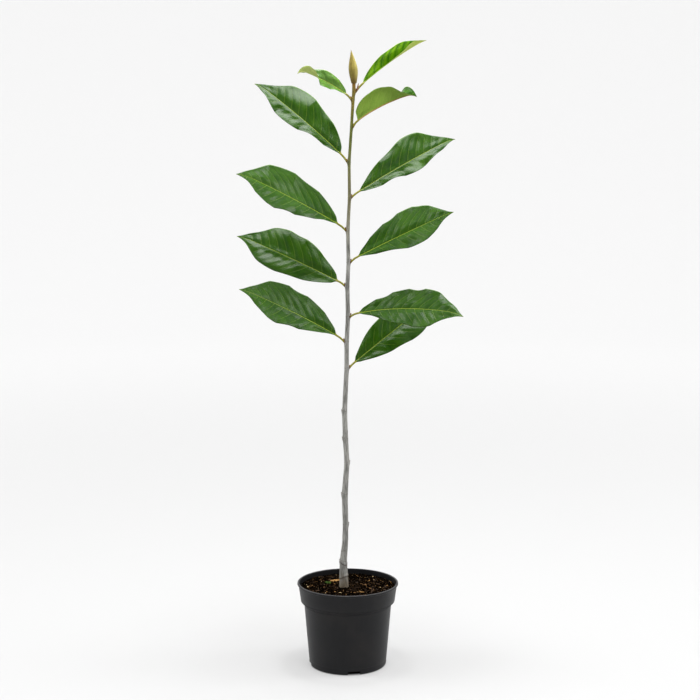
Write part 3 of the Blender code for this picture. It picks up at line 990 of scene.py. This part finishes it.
def bark_relief(angle, height, radius):
    """How far the bark stands out at an angle and height, and how much of that is scar, with painted shadow
    below old scars.
    """
    out = np.zeros_like(height)
    scar_and_shadow = np.zeros_like(height)
    for knot in KNOTS:
        if knot.side == 0:
            continue
        towards = np.cos(angle) * knot.side
        ring = bump(height - knot.height * MM - RING_ABOVE - RING_TILT * towards, RING_WIDTH)
        around = np.arccos(np.clip(towards, -1, 1)) * radius
        patch = bump(np.hypot(around, (height - knot.height * MM) * 0.8), SCAR_SIZE)
        out += RING_HEIGHT * ring + SCAR_HEIGHT * patch
        scar_and_shadow = np.maximum(scar_and_shadow, np.maximum(ring * 0.8, patch))
    for level, tilt, ridge, width in OLD_SCARS:
        above = height - level * MM - tilt * MM * np.cos(angle + 0.6)
        out += ridge * MM * bump(above, width * MM)
        # Painted shadow: darker bark just below each old scar's ridge
        scar_and_shadow = np.maximum(scar_and_shadow, bump(above + SCAR_SHADOW, width * 0.8 * MM))
    return out, scar_and_shadow


def grow_trunk():
    trunk, row, column = rowed_tube("trunk_bark", TRUNK_COLUMNS, TRUNK_CUTS)
    rows = row.max()
    height = mix(knot_heights[0], knot_heights[-1], row / rows)
    angle = 2 * np.pi * column / TRUNK_COLUMNS
    lean, sway = trunk_centre(height)
    swell = knot_swell(height)
    radius = trunk_radius(height) + abs(swell) / 2
    relief, scar_and_shadow = bark_relief(angle, height, radius)
    flare = smooth((FLARE_TOP - height) / FLARE_LENGTH) * FLARE * np.cos(FLARE_RIBS * angle + 1.0)
    grain = np.array([noise.noise(Vector((out * math.cos(a), out * math.sin(a), h / GRAIN_LENGTH)))
                      for a, h, out in zip(angle, height, radius / GRAIN_WIDTH * GRAIN_CLOSENESS)])
    radius = radius + relief + flare + GRAIN * grain
    move_points(trunk, np.column_stack((lean + swell / 2 + radius * np.cos(angle),
                                        sway + radius * np.sin(angle), height)))
    point_values(trunk, "bark", np.column_stack((scar_and_shadow, np.cos(angle), np.sin(angle))))
    close_up(trunk)
    return trunk


trunk_bark = grow_trunk()
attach(trunk_bark, "root")
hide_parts("trunk")
measured(trunk_bark)

# %% [markdown]
# The bark's colour follows age. It is brown where it meets the mix, grey and dull above, greener from about
# two thirds of the plant's height, and olive yellow on this year's shoot at the top, where the skin is
# glossier. Height drives a chain of blends, and noise stretched upright breaks each of them into streaks.

# %% Finish the bark
# Dark and light streaks of each age of bark, and the heights in metres over which it takes over
BARK_AGES = [
    (rgb(100, 99, 95), rgb(166, 165, 160), 0.145, 0.19),
    (rgb(98, 94, 64), rgb(142, 136, 98), 0.76, 0.90),
    (rgb(72, 82, 12), rgb(112, 120, 36), 0.88, 1.00),
    (rgb(90, 79, 10), rgb(126, 113, 26), 1.00, 1.06),
]


def young_bark():
    f = Finish("young_bark")
    place = f.place()
    streak = f.noise(f.stretched(place, (1, 1, 0.07)), 1.3 * MM, 3, 0.6)
    patch = f.noise(f.stretched(place, (1, 1, 0.35)), 9 * MM, 3)
    fleck = f.cells(f.stretched(place, (1, 1, 0.45)), 2.1 * MM)
    pore = f.step(fleck, 0.26, 0.12) * f.step(patch, 0.4, 0.6)
    height = place.part(2) + (patch - 0.5) * 0.04
    streaks = f.step(streak * 0.65 + patch * 0.35, 0.36, 0.64)
    colour = f.blend(rgb(96, 84, 66), rgb(136, 122, 100), streaks)
    for dark, light, low, high in BARK_AGES:
        colour = f.blend(colour, f.blend(dark, light, streaks), f.step(height, low, high))
    colour = f.blend(colour, rgb(150, 104, 36), f.step(height, 1.066, 1.09, 0.0, 0.8))
    colour = f.blend(colour, rgb(176, 170, 156), pore * 0.35)
    # Scars are darker brown, and so is the painted shadow below each old scar
    scar_and_shadow = f.attribute("bark").part(0)
    colour = f.blend(colour, rgb(74, 54, 38), f.step(scar_and_shadow, 0.25, 0.9, 0.0, 0.7))
    young = f.step(height, 0.85, 1.03)
    return f.settle(base_color=colour, roughness=0.78 - young * 0.28 + (streak - 0.5) * 0.1,
                    normal=f.relief(streak * (0.22 * MM) + pore * (0.12 * MM)))


trunk_bark.data.materials.append(young_bark())
print("bark finished")

# %% [markdown]
# ## Side buds
# A small pointed bud sits in the corner above every leaf stalk, and a darker sleeping one above every old
# scar. Beside the highest leaf stands a slim brown sheath. All are one shape, a ball pulled out to a point,
# copied to its places and joined.

# %% Set a bud at every knot
BUD_LEAN = math.radians(24)
BUD_SUNK = 0.8 * MM
# Size, and height above the knot
LEAF_BUD = (5.2 * MM, 2.2 * MM)
SLEEPING_BUD = (3.4 * MM, 1.2 * MM)
SHOOT_START = 500 * MM
STIPULE_SIZE = np.array((5.0, 4.4, 14.5)) * MM
STIPULE_FOOT = 1073.5 * MM
STIPULE_SIDE = 6.3 * MM
STIPULE_FORWARD = 2.5 * MM
STIPULE_LEAN = math.radians(9)


def egg_template():
    """A small pointed bud, 1 high and about 0.5 across, standing on its foot."""
    bpy.ops.object.select_all(action="DESELECT")
    bpy.ops.mesh.primitive_uv_sphere_add(segments=16, ring_count=12, radius=0.5)
    egg = bpy.context.object
    points = points_of(egg)
    faces = [list(face.vertices) for face in egg.data.polygons]
    bpy.data.objects.remove(egg)
    up = points[:, 2] + 0.5
    round_share = np.sin(np.pi * np.clip(up, 0, 1)) ** 0.5
    taper = 0.30 * round_share * (1 - up) ** 0.35 * (1 + 0.35 * (1 - up))
    level = np.hypot(points[:, 0], points[:, 1])
    level[level == 0] = 1
    return np.column_stack((points[:, 0] / level * taper, points[:, 1] / level * taper, up)), faces


def stipule(shape):
    """The slim brown sheath left standing in the corner of the highest leaf."""
    slim = shape * STIPULE_SIZE
    slim[:, 0] += slim[:, 2] * math.tan(STIPULE_LEAN)
    lean, sway = trunk_centre(STIPULE_FOOT)
    return slim + (lean + STIPULE_SIDE, sway - STIPULE_FORWARD, STIPULE_FOOT)


def set_side_buds(finishes):
    shape, faces = egg_template()
    copies, dealt = [], []
    for knot in KNOTS:
        if knot.side == 0:
            continue
        height = knot.height * MM
        in_leaf = height > SHOOT_START
        size, above = LEAF_BUD if in_leaf else SLEEPING_BUD
        foot = height + above
        lean, sway = trunk_centre(foot)
        edge = trunk_radius(foot) + KNOT_SWELL - BUD_SUNK
        bud = shape * size
        cos, sin = math.cos(BUD_LEAN), math.sin(BUD_LEAN)
        x = bud[:, 0] * cos + bud[:, 2] * sin
        z = -bud[:, 0] * sin + bud[:, 2] * cos
        y = sway + knot.side * bud[:, 1]
        copies.append(np.column_stack((lean + knot.side * (edge + x), y, foot + z)))
        dealt.append(0 if in_leaf else 1)
    copies.append(stipule(shape))
    dealt.append(2)
    piece = joined("side_buds", np.array(copies), faces, finishes, np.array(dealt))
    close_up(piece)
    measured(piece)


def bud_skin(name, dark, light):
    f = Finish(name)
    place = f.place()
    streak = f.noise(f.stretched(place, (1, 1, 0.25)), 0.7 * MM, 3)
    return f.settle(base_color=f.blend(dark, light, f.step(streak, 0.35, 0.65)), roughness=0.6,
                    normal=f.relief(streak * (0.15 * MM)))


set_side_buds([bud_skin("bud_brown", rgb(92, 58, 30), rgb(150, 104, 58)),
               bud_skin("bud_asleep", rgb(50, 38, 30), rgb(98, 80, 66)),
               bud_skin("stipule_brown", rgb(104, 62, 40), rgb(150, 104, 74))])

# %% [markdown]
# ## Terminal bud
# The bud on the tip is wrapped in one velvety scale that overlaps itself, so a fine seam winds up its side.
# It is fullest two fifths of the way up and draws out to a point.

# %% Shape the terminal bud
BUD_COLUMNS = 48
BUD_CUTS = (9, 9)
BUD_LENGTH = 60 * MM
BUD_RADIUS = 8.3 * MM
BUD_FOOT_RADIUS = 4.4 * MM
BUD_SWAY = -5.2 * MM
BUD_SWAY_CURVE = 1.6
BUD_FULLEST = 0.4
BUD_BELLY = 0.9
SEAM_DEPTH = 0.35 * MM
SEAM_START = math.radians(-60)
SEAM_WIND = math.radians(50)
SEAM_STEP = 0.12
SEAM_FADE = 1.6
BUD_FOOT_SUNK = 0.5 * MM
# Two low rings at the foot: height, place along the bud and width
FOOT_RINGS = ((0.35 * MM, 0.035, 0.02), (0.2 * MM, 0.09, 0.02))


def bud_radius(part):
    """The bud's half thickness, from its foot at 0 to its point at 1."""
    rising = mix(BUD_FOOT_RADIUS, BUD_RADIUS, np.sin(np.clip(part / BUD_FULLEST, 0, 1) * np.pi / 2))
    above = np.clip((part - BUD_FULLEST) / (1 - BUD_FULLEST), 0, 1)
    narrowing = BUD_RADIUS * (1 - above) * (1 + BUD_BELLY * above * (1 - above))
    return np.where(part < BUD_FULLEST, rising, narrowing)


def grow_bud():
    bud, row, column = rowed_tube("bud_velvet", BUD_COLUMNS, BUD_CUTS)
    part = row / row.max()
    angle = 2 * np.pi * column / BUD_COLUMNS
    foot = knot_heights[-1] - BUD_FOOT_SUNK
    lean, sway = trunk_centre(knot_heights[-1])
    radius = bud_radius(part)
    from_seam = (angle - SEAM_START - SEAM_WIND * part + np.pi) % (2 * np.pi) - np.pi
    overlap = smooth(-from_seam / SEAM_STEP) - smooth((-from_seam - SEAM_STEP) / SEAM_FADE)
    radius = radius + overlap * SEAM_DEPTH * smooth(radius / (3 * MM)) * smooth(part / 0.1)
    radius += sum(ridge * bump(part - place, width) for ridge, place, width in FOOT_RINGS)
    height = mix(foot, knot_heights[-1] + BUD_LENGTH, part)
    centre = lean + BUD_SWAY * part ** BUD_SWAY_CURVE
    move_points(bud, np.column_stack((centre + radius * np.cos(angle),
                                      sway + radius * np.sin(angle), height)))
    # The third number is how far each point faces right, for the painted light on that side
    point_values(bud, "velvet", np.column_stack((part, overlap, np.cos(angle))))
    close_up(bud)
    return bud


def velvet():
    f = Finish("bud_velvet")
    place = f.place()
    part = f.attribute("velvet").part(0)
    hair = f.noise(f.stretched(place, (1, 1, 0.12)), 0.45 * MM, 3, 0.6)
    patch = f.noise(f.stretched(place, (1, 1, 0.3)), 5 * MM, 3)
    # Painted light: the bud's right side is lighter, where the light falls
    painted_light_side = f.step(f.attribute("velvet").part(2), -0.3, 0.9)
    velvet_colour = f.blend(rgb(112, 96, 36), rgb(160, 144, 66), f.step(hair * 0.5 + patch * 0.5, 0.35, 0.65))
    velvet_colour = f.blend(velvet_colour, rgb(196, 182, 100), painted_light_side * 0.6)
    foot = f.step(part + (patch - 0.5) * 0.12, 0.30, 0.02)
    colour = f.blend(velvet_colour, rgb(108, 80, 34), foot * 0.8)
    colour = f.blend(colour, rgb(120, 96, 52), f.step(part, 0.86, 1.0, 0.0, 0.5))
    return f.settle(base_color=colour, roughness=0.62, specular_IOR_level=0.25, sheen_weight=0.15,
                    sheen_roughness=0.4, normal=f.relief(hair * (0.30 * MM)))


bud_velvet = grow_bud()
bud_velvet.data.materials.append(velvet())
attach(bud_velvet, "root")
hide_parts("terminal_bud")
measured(bud_velvet)

# %% [markdown]
# ## The leaves' rule
# All eleven leaves follow one rule, each with its own numbers. A midrib is traced from the trunk in small
# steps, with a slope and a swing that change along it. Across it lie two halves that fold up, arch, and wave
# at their margins. The solids follow the same rule in a few coarse steps, and here it is carried to a fine
# mesh, with the hollows and swellings between the side veins that the solids leave out.

# %% Write the leaves' rule
# Sizes are millimetres and angles degrees, from the lowest leaf to the highest.
# away is the swing behind the plant's plane at the foot and at the tip, rise the slope of the stalk, of the
# blade's base and of its end, dip the extra droop of the tip, roll the turn of the face from level towards
# the front at base, middle and tip, fold the lift of each half at base and tip, and half and peak the
# greatest width of the back and front half and where it lies. A wave is a margin's depth, the place of one
# dip and the distance to the next, as parts of the blade.
Leaf = namedtuple("Leaf", "side height away stalk blade rise dip roll fold half peak back_wave front_wave")
LEAVES = [
    Leaf(1, 566, (22, 36), 13, 219, (52, 37, 29), 8, (60, 58, 52), (14, 10), (39, 37), (0.54, 0.56),
         (2, 0.45, 0.40), (3, 0.42, 0.40)),
    Leaf(-1, 616, (-20, -34), 17.5, 219.5, (51, 32, 23), 8, (62, 58, 52), (14, 9), (50, 42), (0.51, 0.64),
         (3, 0.44, 0.36), (3.5, 0.50, 0.47)),
    Leaf(1, 663, (-26, -38), 16, 223, (38, 15, -5), 14, (58, 56, 50), (12, 8), (42, 38), (0.53, 0.61),
         (4, 0.51, 0.28), (3, 0.48, 0.34)),
    Leaf(-1, 719, (14, 26), 14.5, 219.5, (47, 26, 19), 12, (58, 56, 52), (13, 9), (50, 38), (0.54, 0.51),
         (2.5, 0.50, 0.32), (2.5, 0.40, 0.50)),
    Leaf(1, 763, (-14, -26), 16, 203, (52, 28, 24), 6, (60, 58, 54), (12, 8), (49, 37), (0.55, 0.63),
         (2.5, 0.69, 0.30), (3.5, 0.34, 0.64)),
    Leaf(-1, 821, (-18, -30), 17.5, 221.5, (50, 32, 23), 14, (60, 56, 52), (13, 9), (56, 43), (0.52, 0.64),
         (3, 0.36, 0.46), (3.5, 0.52, 0.40)),
    Leaf(1, 881, (18, 32), 16, 224, (46, 32, 22), 12, (64, 62, 56), (14, 10), (45, 23), (0.61, 0.53),
         (4, 0.40, 0.44), (7, 0.31, 0.42)),
    Leaf(-1, 945, (16, 28), 17.5, 218.5, (61, 44, 33), 14, (56, 54, 50), (14, 10), (46, 26), (0.52, 0.58),
         (4, 0.36, 0.50), (7, 0.29, 0.50)),
    Leaf(1, 1009, (-18, -28), 13.5, 125.5, (70, 38, 13), 34, (-40, -42, 34), (62, 50), (31, 36), (0.82, 0.37),
         (1, 0.50, 0.50), (1.5, 0.70, 0.50)),
    Leaf(-1, 1057.5, (-12, -24), 13, 103.5, (61, 38, 17), 58, (60, 62, -62), (16, 36), (20, 22), (0.46, 0.62),
         (1, 0.60, 0.50), (3.5, 0.20, 0.46)),
    Leaf(1, 1071.5, (16, 30), 19, 152, (58, 42, 26), 8, (44, 38, 10), (46, 70), (24, 24), (0.53, 0.64),
         (1, 0.50, 0.50), (1, 0.50, 0.50)),
]
SETTLE_CURVE = 0.7
DIP_START = 0.82
OUTLINE_CURVE = 0.7
TIP_START = 0.7
TIP_PINCH = 0.85
TIP_CURVE = 1.5
CAMBER = 0.14
WAVE_PINCH = 0.5
WAVE_CURVE = 0.6
FREE_MARGIN = 12
TRACE_STEPS = 240


def blade_part(leaf, along):
    """0 on the stalk, then 0 to 1 along the blade."""
    return np.maximum(0, (along - leaf.stalk) / leaf.blade)


def midrib_ways(leaf, along):
    """Unit vectors along the stalk and midrib, at distances from the foot in millimetres."""
    part = blade_part(leaf, along)
    stalk_rise, base_rise, end_rise = leaf.rise
    on_blade = mix(base_rise, end_rise, part ** SETTLE_CURVE)
    on_blade = on_blade - leaf.dip * smooth((part - DIP_START) / (1 - DIP_START))
    on_stalk = mix(stalk_rise, base_rise, smooth(along / leaf.stalk))
    rise = np.radians(np.where(along < leaf.stalk, on_stalk, on_blade))
    away = np.radians(mix(*leaf.away, part))
    level = np.cos(rise)
    return np.column_stack((leaf.side * np.cos(away) * level, np.sin(away) * level, np.sin(rise)))


def trace_midrib(leaf):
    """Distances from the foot, points there, and the way out from the trunk."""
    away = math.radians(leaf.away[0])
    outwards = np.array((leaf.side * math.cos(away), math.sin(away), 0))
    height = leaf.height * MM
    foot = np.array((*trunk_centre(height), height)) + outwards * (trunk_radius(height) + KNOT_SWELL + GAP)
    along = np.linspace(0, leaf.stalk + leaf.blade, TRACE_STEPS + 1)
    ways = midrib_ways(leaf, along)
    steps = (ways[1:] + ways[:-1]) / 2 * along[1] * MM
    return along, foot + np.vstack((np.zeros(3), np.cumsum(steps, axis=0))), outwards


def outline(part, peak):
    """The blade's half width against its greatest: round base, drawn-out tip."""
    width = np.maximum(0, np.sin(np.pi * part ** (math.log(0.5) / math.log(peak)))) ** OUTLINE_CURVE
    beyond = np.maximum(0, part - TIP_START) / (1 - TIP_START)
    return width * (1 - TIP_PINCH * beyond ** TIP_CURVE)


def margin_wave(wave, part):
    depth, dip, spacing = wave
    return depth * np.cos(2 * np.pi * (part - dip) / spacing) * np.abs(np.sin(np.pi * part)) ** WAVE_CURVE


def three_way(values, part):
    """Runs smoothly from the first value through the second, at the middle, to the third."""
    first, middle, last = values
    return np.where(part < 0.5, mix(first, middle, smooth(2 * part)), mix(middle, last, smooth(2 * part - 1)))


print(f"{len(LEAVES)} leaves, the longest blade {max(leaf.blade for leaf in LEAVES)} mm")

# %% [markdown]
# Side veins leave the midrib at a slant and curve towards the tip. Each point of the blade gets a vein
# number that runs up along the midrib and is held along each vein, so whole numbers lie on veins. The blade
# swells between them and sinks at them, and the whole blade ripples softly. Both faces follow, because a real
# leaf is only half a millimetre thick, and the midrib stands out below as a round ridge.

# %% Build the leaves
HALF_COLUMNS = 26
COLUMN_CURVE = 1.25
STALK_ROWS = 14
LEAF_CUTS = (3, 49)
MARGIN_ANGLE = 80
STALK_RADIUS = 1.8
STALK_FOOT_RADIUS = 2.3
STALK_FOOT = 0.3
STALK_SETTLED = 0.45
STALK_MERGE = 0.05
STALK_SUNK = 1.6
THICKNESS = 0.6
RIB_DEPTH = 1.6
RIB_LEAST = 0.15
RIB_WIDTH = 1.25
CHANNEL_DEPTH = 0.45
VEIN_SPACING = 19
VEIN_SLANT = 0.55
VEIN_CURVE = 0.5
VEIN_OFFSET = 0.25
USUAL_BLADE = 215
NARROW = 16
QUILT = 0.6
RIPPLE = 2.6


def vein_number(leaf, part, side_mm, half):
    """Whole on each side vein, rising towards the tip."""
    widest = max(leaf.half)
    run = VEIN_SLANT * side_mm + VEIN_CURVE * side_mm * side_mm / widest
    spacing = VEIN_SPACING * mix(0.72, 1, leaf.blade / USUAL_BLADE)
    return (part * leaf.blade - run) / spacing + 0.12 * np.sin(7 * part + leaf.height)


def blade_points(leaf, along, across, face):
    """Sideways places and lifts in millimetres round every row of the leaf, and numbers for its finish."""
    part = blade_part(leaf, along)
    back = across > 0
    back_half, front_half = (widest * outline(part, peak) for widest, peak in zip(leaf.half, leaf.peak))
    half = np.where(back, back_half, front_half)
    wave = np.where(back, margin_wave(leaf.back_wave, part), margin_wave(leaf.front_wave, part))
    wave = wave * np.minimum(1, half / FREE_MARGIN)
    fold = np.radians(mix(*leaf.fold, part))
    out = np.abs(across)
    width = np.maximum(0, half - WAVE_PINCH * wave)
    side = out * width
    lift = side * np.sin(fold) - CAMBER * width * out * out - np.copysign(wave, across) * out * out
    vein = vein_number(leaf, part, side, half)
    # Relief fades out beside the midrib, towards the margin and where the blade is narrow
    wide = smooth(width / NARROW)
    swelling = np.sin(np.pi * (vein + np.where(back, VEIN_OFFSET, -VEIN_OFFSET))) ** 2
    quilted = smooth((side - 1.5) / 7) * (1 - 0.75 * smooth((out - 0.55) / 0.45)) * wide
    lift = lift + QUILT * (swelling - 0.5) * quilted
    ripple = np.sin(9 * part + leaf.height) * np.cos(3 * across + 3 * part + leaf.away[0])
    lift = lift + RIPPLE * ripple * smooth(side / 12) * (1 - out ** 4) * wide
    rib = RIB_WIDTH * mix(1, 0.3, part)
    channel = CHANNEL_DEPTH * (1 - 0.7 * part)
    ridge = bump(side, rib) * np.where(face > 0, channel, RIB_DEPTH * (1 - part) + RIB_LEAST)
    thickness = THICKNESS * mix(1, 0.6, out)
    blade = np.stack((across * width * np.cos(fold), lift + face * thickness / 2 - ridge))
    foot = smooth(1 - along / (STALK_FOOT * leaf.stalk))
    radius = mix(STALK_RADIUS, STALK_FOOT_RADIUS, foot)
    angle = face * np.radians(90 - across * MARGIN_ANGLE)
    stalk = np.stack((radius * np.cos(angle), radius * np.sin(angle)))
    flat = smooth(part / STALK_MERGE)
    down_stalk = np.minimum(0, along / leaf.stalk - 1)
    veins = np.stack((vein, across + 0 * part, part + down_stalk + 0 * across), -1)
    faces = np.stack((face + 0 * part, 1 - flat + 0 * across, side), -1)
    return mix(stalk, blade, flat), veins, faces


def unit(vectors):
    return vectors / np.linalg.norm(vectors, axis=1)[:, None]


def leaf_frames(leaf, along):
    """The middle, the sideways way and the upper face's way of every row."""
    distances, points, outwards = trace_midrib(leaf)
    centre = np.column_stack([np.interp(along, distances, points[:, axis]) for axis in range(3)])
    centre = centre + outwards * np.minimum(0, along)[:, None] * MM
    ways = midrib_ways(leaf, np.maximum(0, along))
    level = unit(np.cross(ways, (0, 0, 1)) * -leaf.side)
    up = np.cross(level, ways) * -leaf.side
    roll = np.radians(three_way(leaf.roll, blade_part(leaf, along)))[:, None]
    sideways = level * np.cos(roll) + up * np.sin(roll)
    face = up * np.cos(roll) - level * np.sin(roll)
    settled = smooth(along / (STALK_SETTLED * leaf.stalk))[:, None]
    sideways = mix(np.array((-outwards[1], outwards[0], 0)) * leaf.side, sideways, settled)
    face = mix(np.array((0, 0, 1.0)), face, settled)
    return centre, unit(sideways), unit(face)


def column_shares():
    """Each column's share across the blade, closer together at the midrib, and its face."""
    steps = np.arange(-HALF_COLUMNS, HALF_COLUMNS + 1) / HALF_COLUMNS
    shares = np.sign(steps) * np.abs(steps) ** COLUMN_CURVE
    return np.concatenate((-shares, shares)), np.repeat((1.0, -1.0), len(shares))


def grow_leaf(number, leaf):
    across, face = column_shares()
    blade, row, column = rowed_tube(f"leaf_blade_{number}", len(across), LEAF_CUTS)
    rows = row.max()
    along = np.concatenate((np.linspace(-STALK_SUNK, leaf.stalk, STALK_ROWS, endpoint=False),
                            leaf.stalk + leaf.blade * np.linspace(0, 1, rows + 1 - STALK_ROWS)))
    offsets, veins, faces = blade_points(leaf, along[:, None], across[None, :], face[None, :])
    centre, sideways, upwards = leaf_frames(leaf, along)
    places = (centre[:, None] + sideways[:, None] * offsets[0][..., None] * MM
              + upwards[:, None] * offsets[1][..., None] * MM)
    places[-1] = centre[-1]
    move_points(blade, places[row, column])
    point_values(blade, "veins", veins[row, column])
    point_values(blade, "faces", faces[row, column])
    close_up(blade)
    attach(blade, "root")
    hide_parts(f"leaf_{number}")
    measured(blade)
    return blade


blades = [grow_leaf(number, leaf) for number, leaf in enumerate(LEAVES, 1)]

# %% [markdown]
# A grown magnolia leaf is deep green and glossy above, pale and matt below. Fine yellow-green lines mark the
# midrib, the side veins and the margin. The lines are read from the vein number: its distance to the nearest
# whole number is a distance from a vein. The green also swings with the vein number, as painted shade and
# light on the swellings between the veins. The three young leaves use the same finish with fresher colours,
# and the newest shows this painted shade between its veins most.

# %% Finish the leaves
Greens = namedtuple("Greens", "deep fresh vein below below_vein below_rib")


def leaf_finish(name, greens, gloss, specular, painted_panel_shade):
    """A leaf's finish: gloss is the upper face's roughness, the last number how strong the painted shade
    between veins is.
    """
    f = Finish(name)
    place = f.place()
    veins, faces = f.attribute("veins"), f.attribute("faces")
    across, part = veins.part(1), veins.part(2)
    upper = f.step(faces.part(0), -0.2, 0.2)
    stalk, side = faces.part(1), faces.part(2)
    out = across.math("ABSOLUTE")
    number = veins.part(0) + across.math("SIGN") * VEIN_OFFSET
    from_vein = (number - number.math("ROUND")).math("ABSOLUTE") * VEIN_SPACING
    fading = f.step(out, 0.95, 0.6)
    vein = f.step(from_vein, 0.6, 0.1) * fading
    midrib = f.step(side + part * 0.6, 1.1, 0.5)
    margin = f.step(out, 0.98, 0.997)
    cloud = f.noise(place, 30 * MM, 2)
    mottle = f.noise(place, 2.6 * MM, 4, 0.6)
    # Painted shade and light: the green swings across each panel between the veins, following the swellings
    swelling = (number * (2 * math.pi) - 0.8).math("SINE") * 0.5 + 0.5
    areole = f.cells(place, 1.1 * MM, "DISTANCE_TO_EDGE")
    skin = f.noise(place, 0.5 * MM, 2)
    # Random tone mixed with the painted shade of the panels
    shade = cloud * 0.45 + mottle * 0.2 + swelling * 0.35 * painted_panel_shade + 0.175 * (1 - painted_panel_shade)
    deep = f.blend(greens.deep, greens.fresh, f.step(shade, 0.25, 0.75))
    deep = f.blend(deep, greens.fresh, f.step(from_vein, 3.0, 0.2) * fading * 0.25)
    top = f.blend(deep, greens.vein, vein * 0.3)
    top = f.blend(top, greens.vein, midrib * 0.9)
    bottom = f.blend(greens.below, greens.below_vein, f.step(mottle, 0.35, 0.7) * 0.15 + vein * 0.45)
    bottom = f.blend(bottom, greens.below_rib, f.step(side, 2.0, 1.0))
    colour = f.blend(bottom, top, upper)
    colour = f.blend(colour, greens.vein, margin * 0.4)
    stalk_colour = f.blend(rgb(92, 62, 26), rgb(138, 134, 44), f.step(part, -0.98, -0.8))
    colour = f.blend(colour, stalk_colour, f.step(stalk, 0.2, 0.9))
    rough = mix(0.6, gloss, upper) + (cloud - 0.5) * 0.10 + vein * 0.08
    ridge = vein * (0.16 * MM) * (0.5 - upper)
    net = f.step(areole, 0.12, 0.0) * (-0.03 * MM)
    return f.settle(base_color=colour, roughness=rough, specular_IOR_level=specular,
                    normal=f.relief(ridge + net + mottle * (0.03 * MM) + skin * (0.008 * MM)))


GROWN = Greens(rgb(19, 57, 1), rgb(52, 90, 2), rgb(132, 152, 44), rgb(96, 132, 68), rgb(142, 164, 92),
               rgb(150, 166, 96))
YOUNG = Greens(rgb(36, 80, 10), rgb(66, 112, 22), rgb(160, 172, 62), rgb(108, 140, 46), rgb(150, 160, 72),
               rgb(146, 116, 62))
# The curled leaf's undersides are painted lighter, as painted light on its shaded curled tip
CURLED = Greens(rgb(46, 90, 12), rgb(88, 132, 30), rgb(160, 172, 62), rgb(172, 190, 98), rgb(188, 198, 122),
                rgb(180, 190, 106))
NEWEST = Greens(rgb(58, 112, 2), rgb(112, 158, 12), rgb(180, 186, 84), rgb(162, 182, 74), rgb(190, 196, 108),
                rgb(186, 190, 104))
grown_leaf = leaf_finish("grown_leaf", GROWN, 0.25, 0.2, 0.2)
young_leaf = leaf_finish("young_leaf", YOUNG, 0.26, 0.2, 0.2)
curled_leaf = leaf_finish("curled_leaf", CURLED, 0.36, 0.5, 0.2)
newest_leaf = leaf_finish("newest_leaf", NEWEST, 0.28, 0.2, 1.0)
YOUNG_FINISHES = {9: young_leaf, 10: curled_leaf, 11: newest_leaf}

for number, blade in enumerate(blades, 1):
    blade.data.materials.append(YOUNG_FINISHES.get(number, grown_leaf))
    "young_leaf" if number in YOUNG_FINISHES else "leaf"
print(f"{len(blades)} leaves finished")
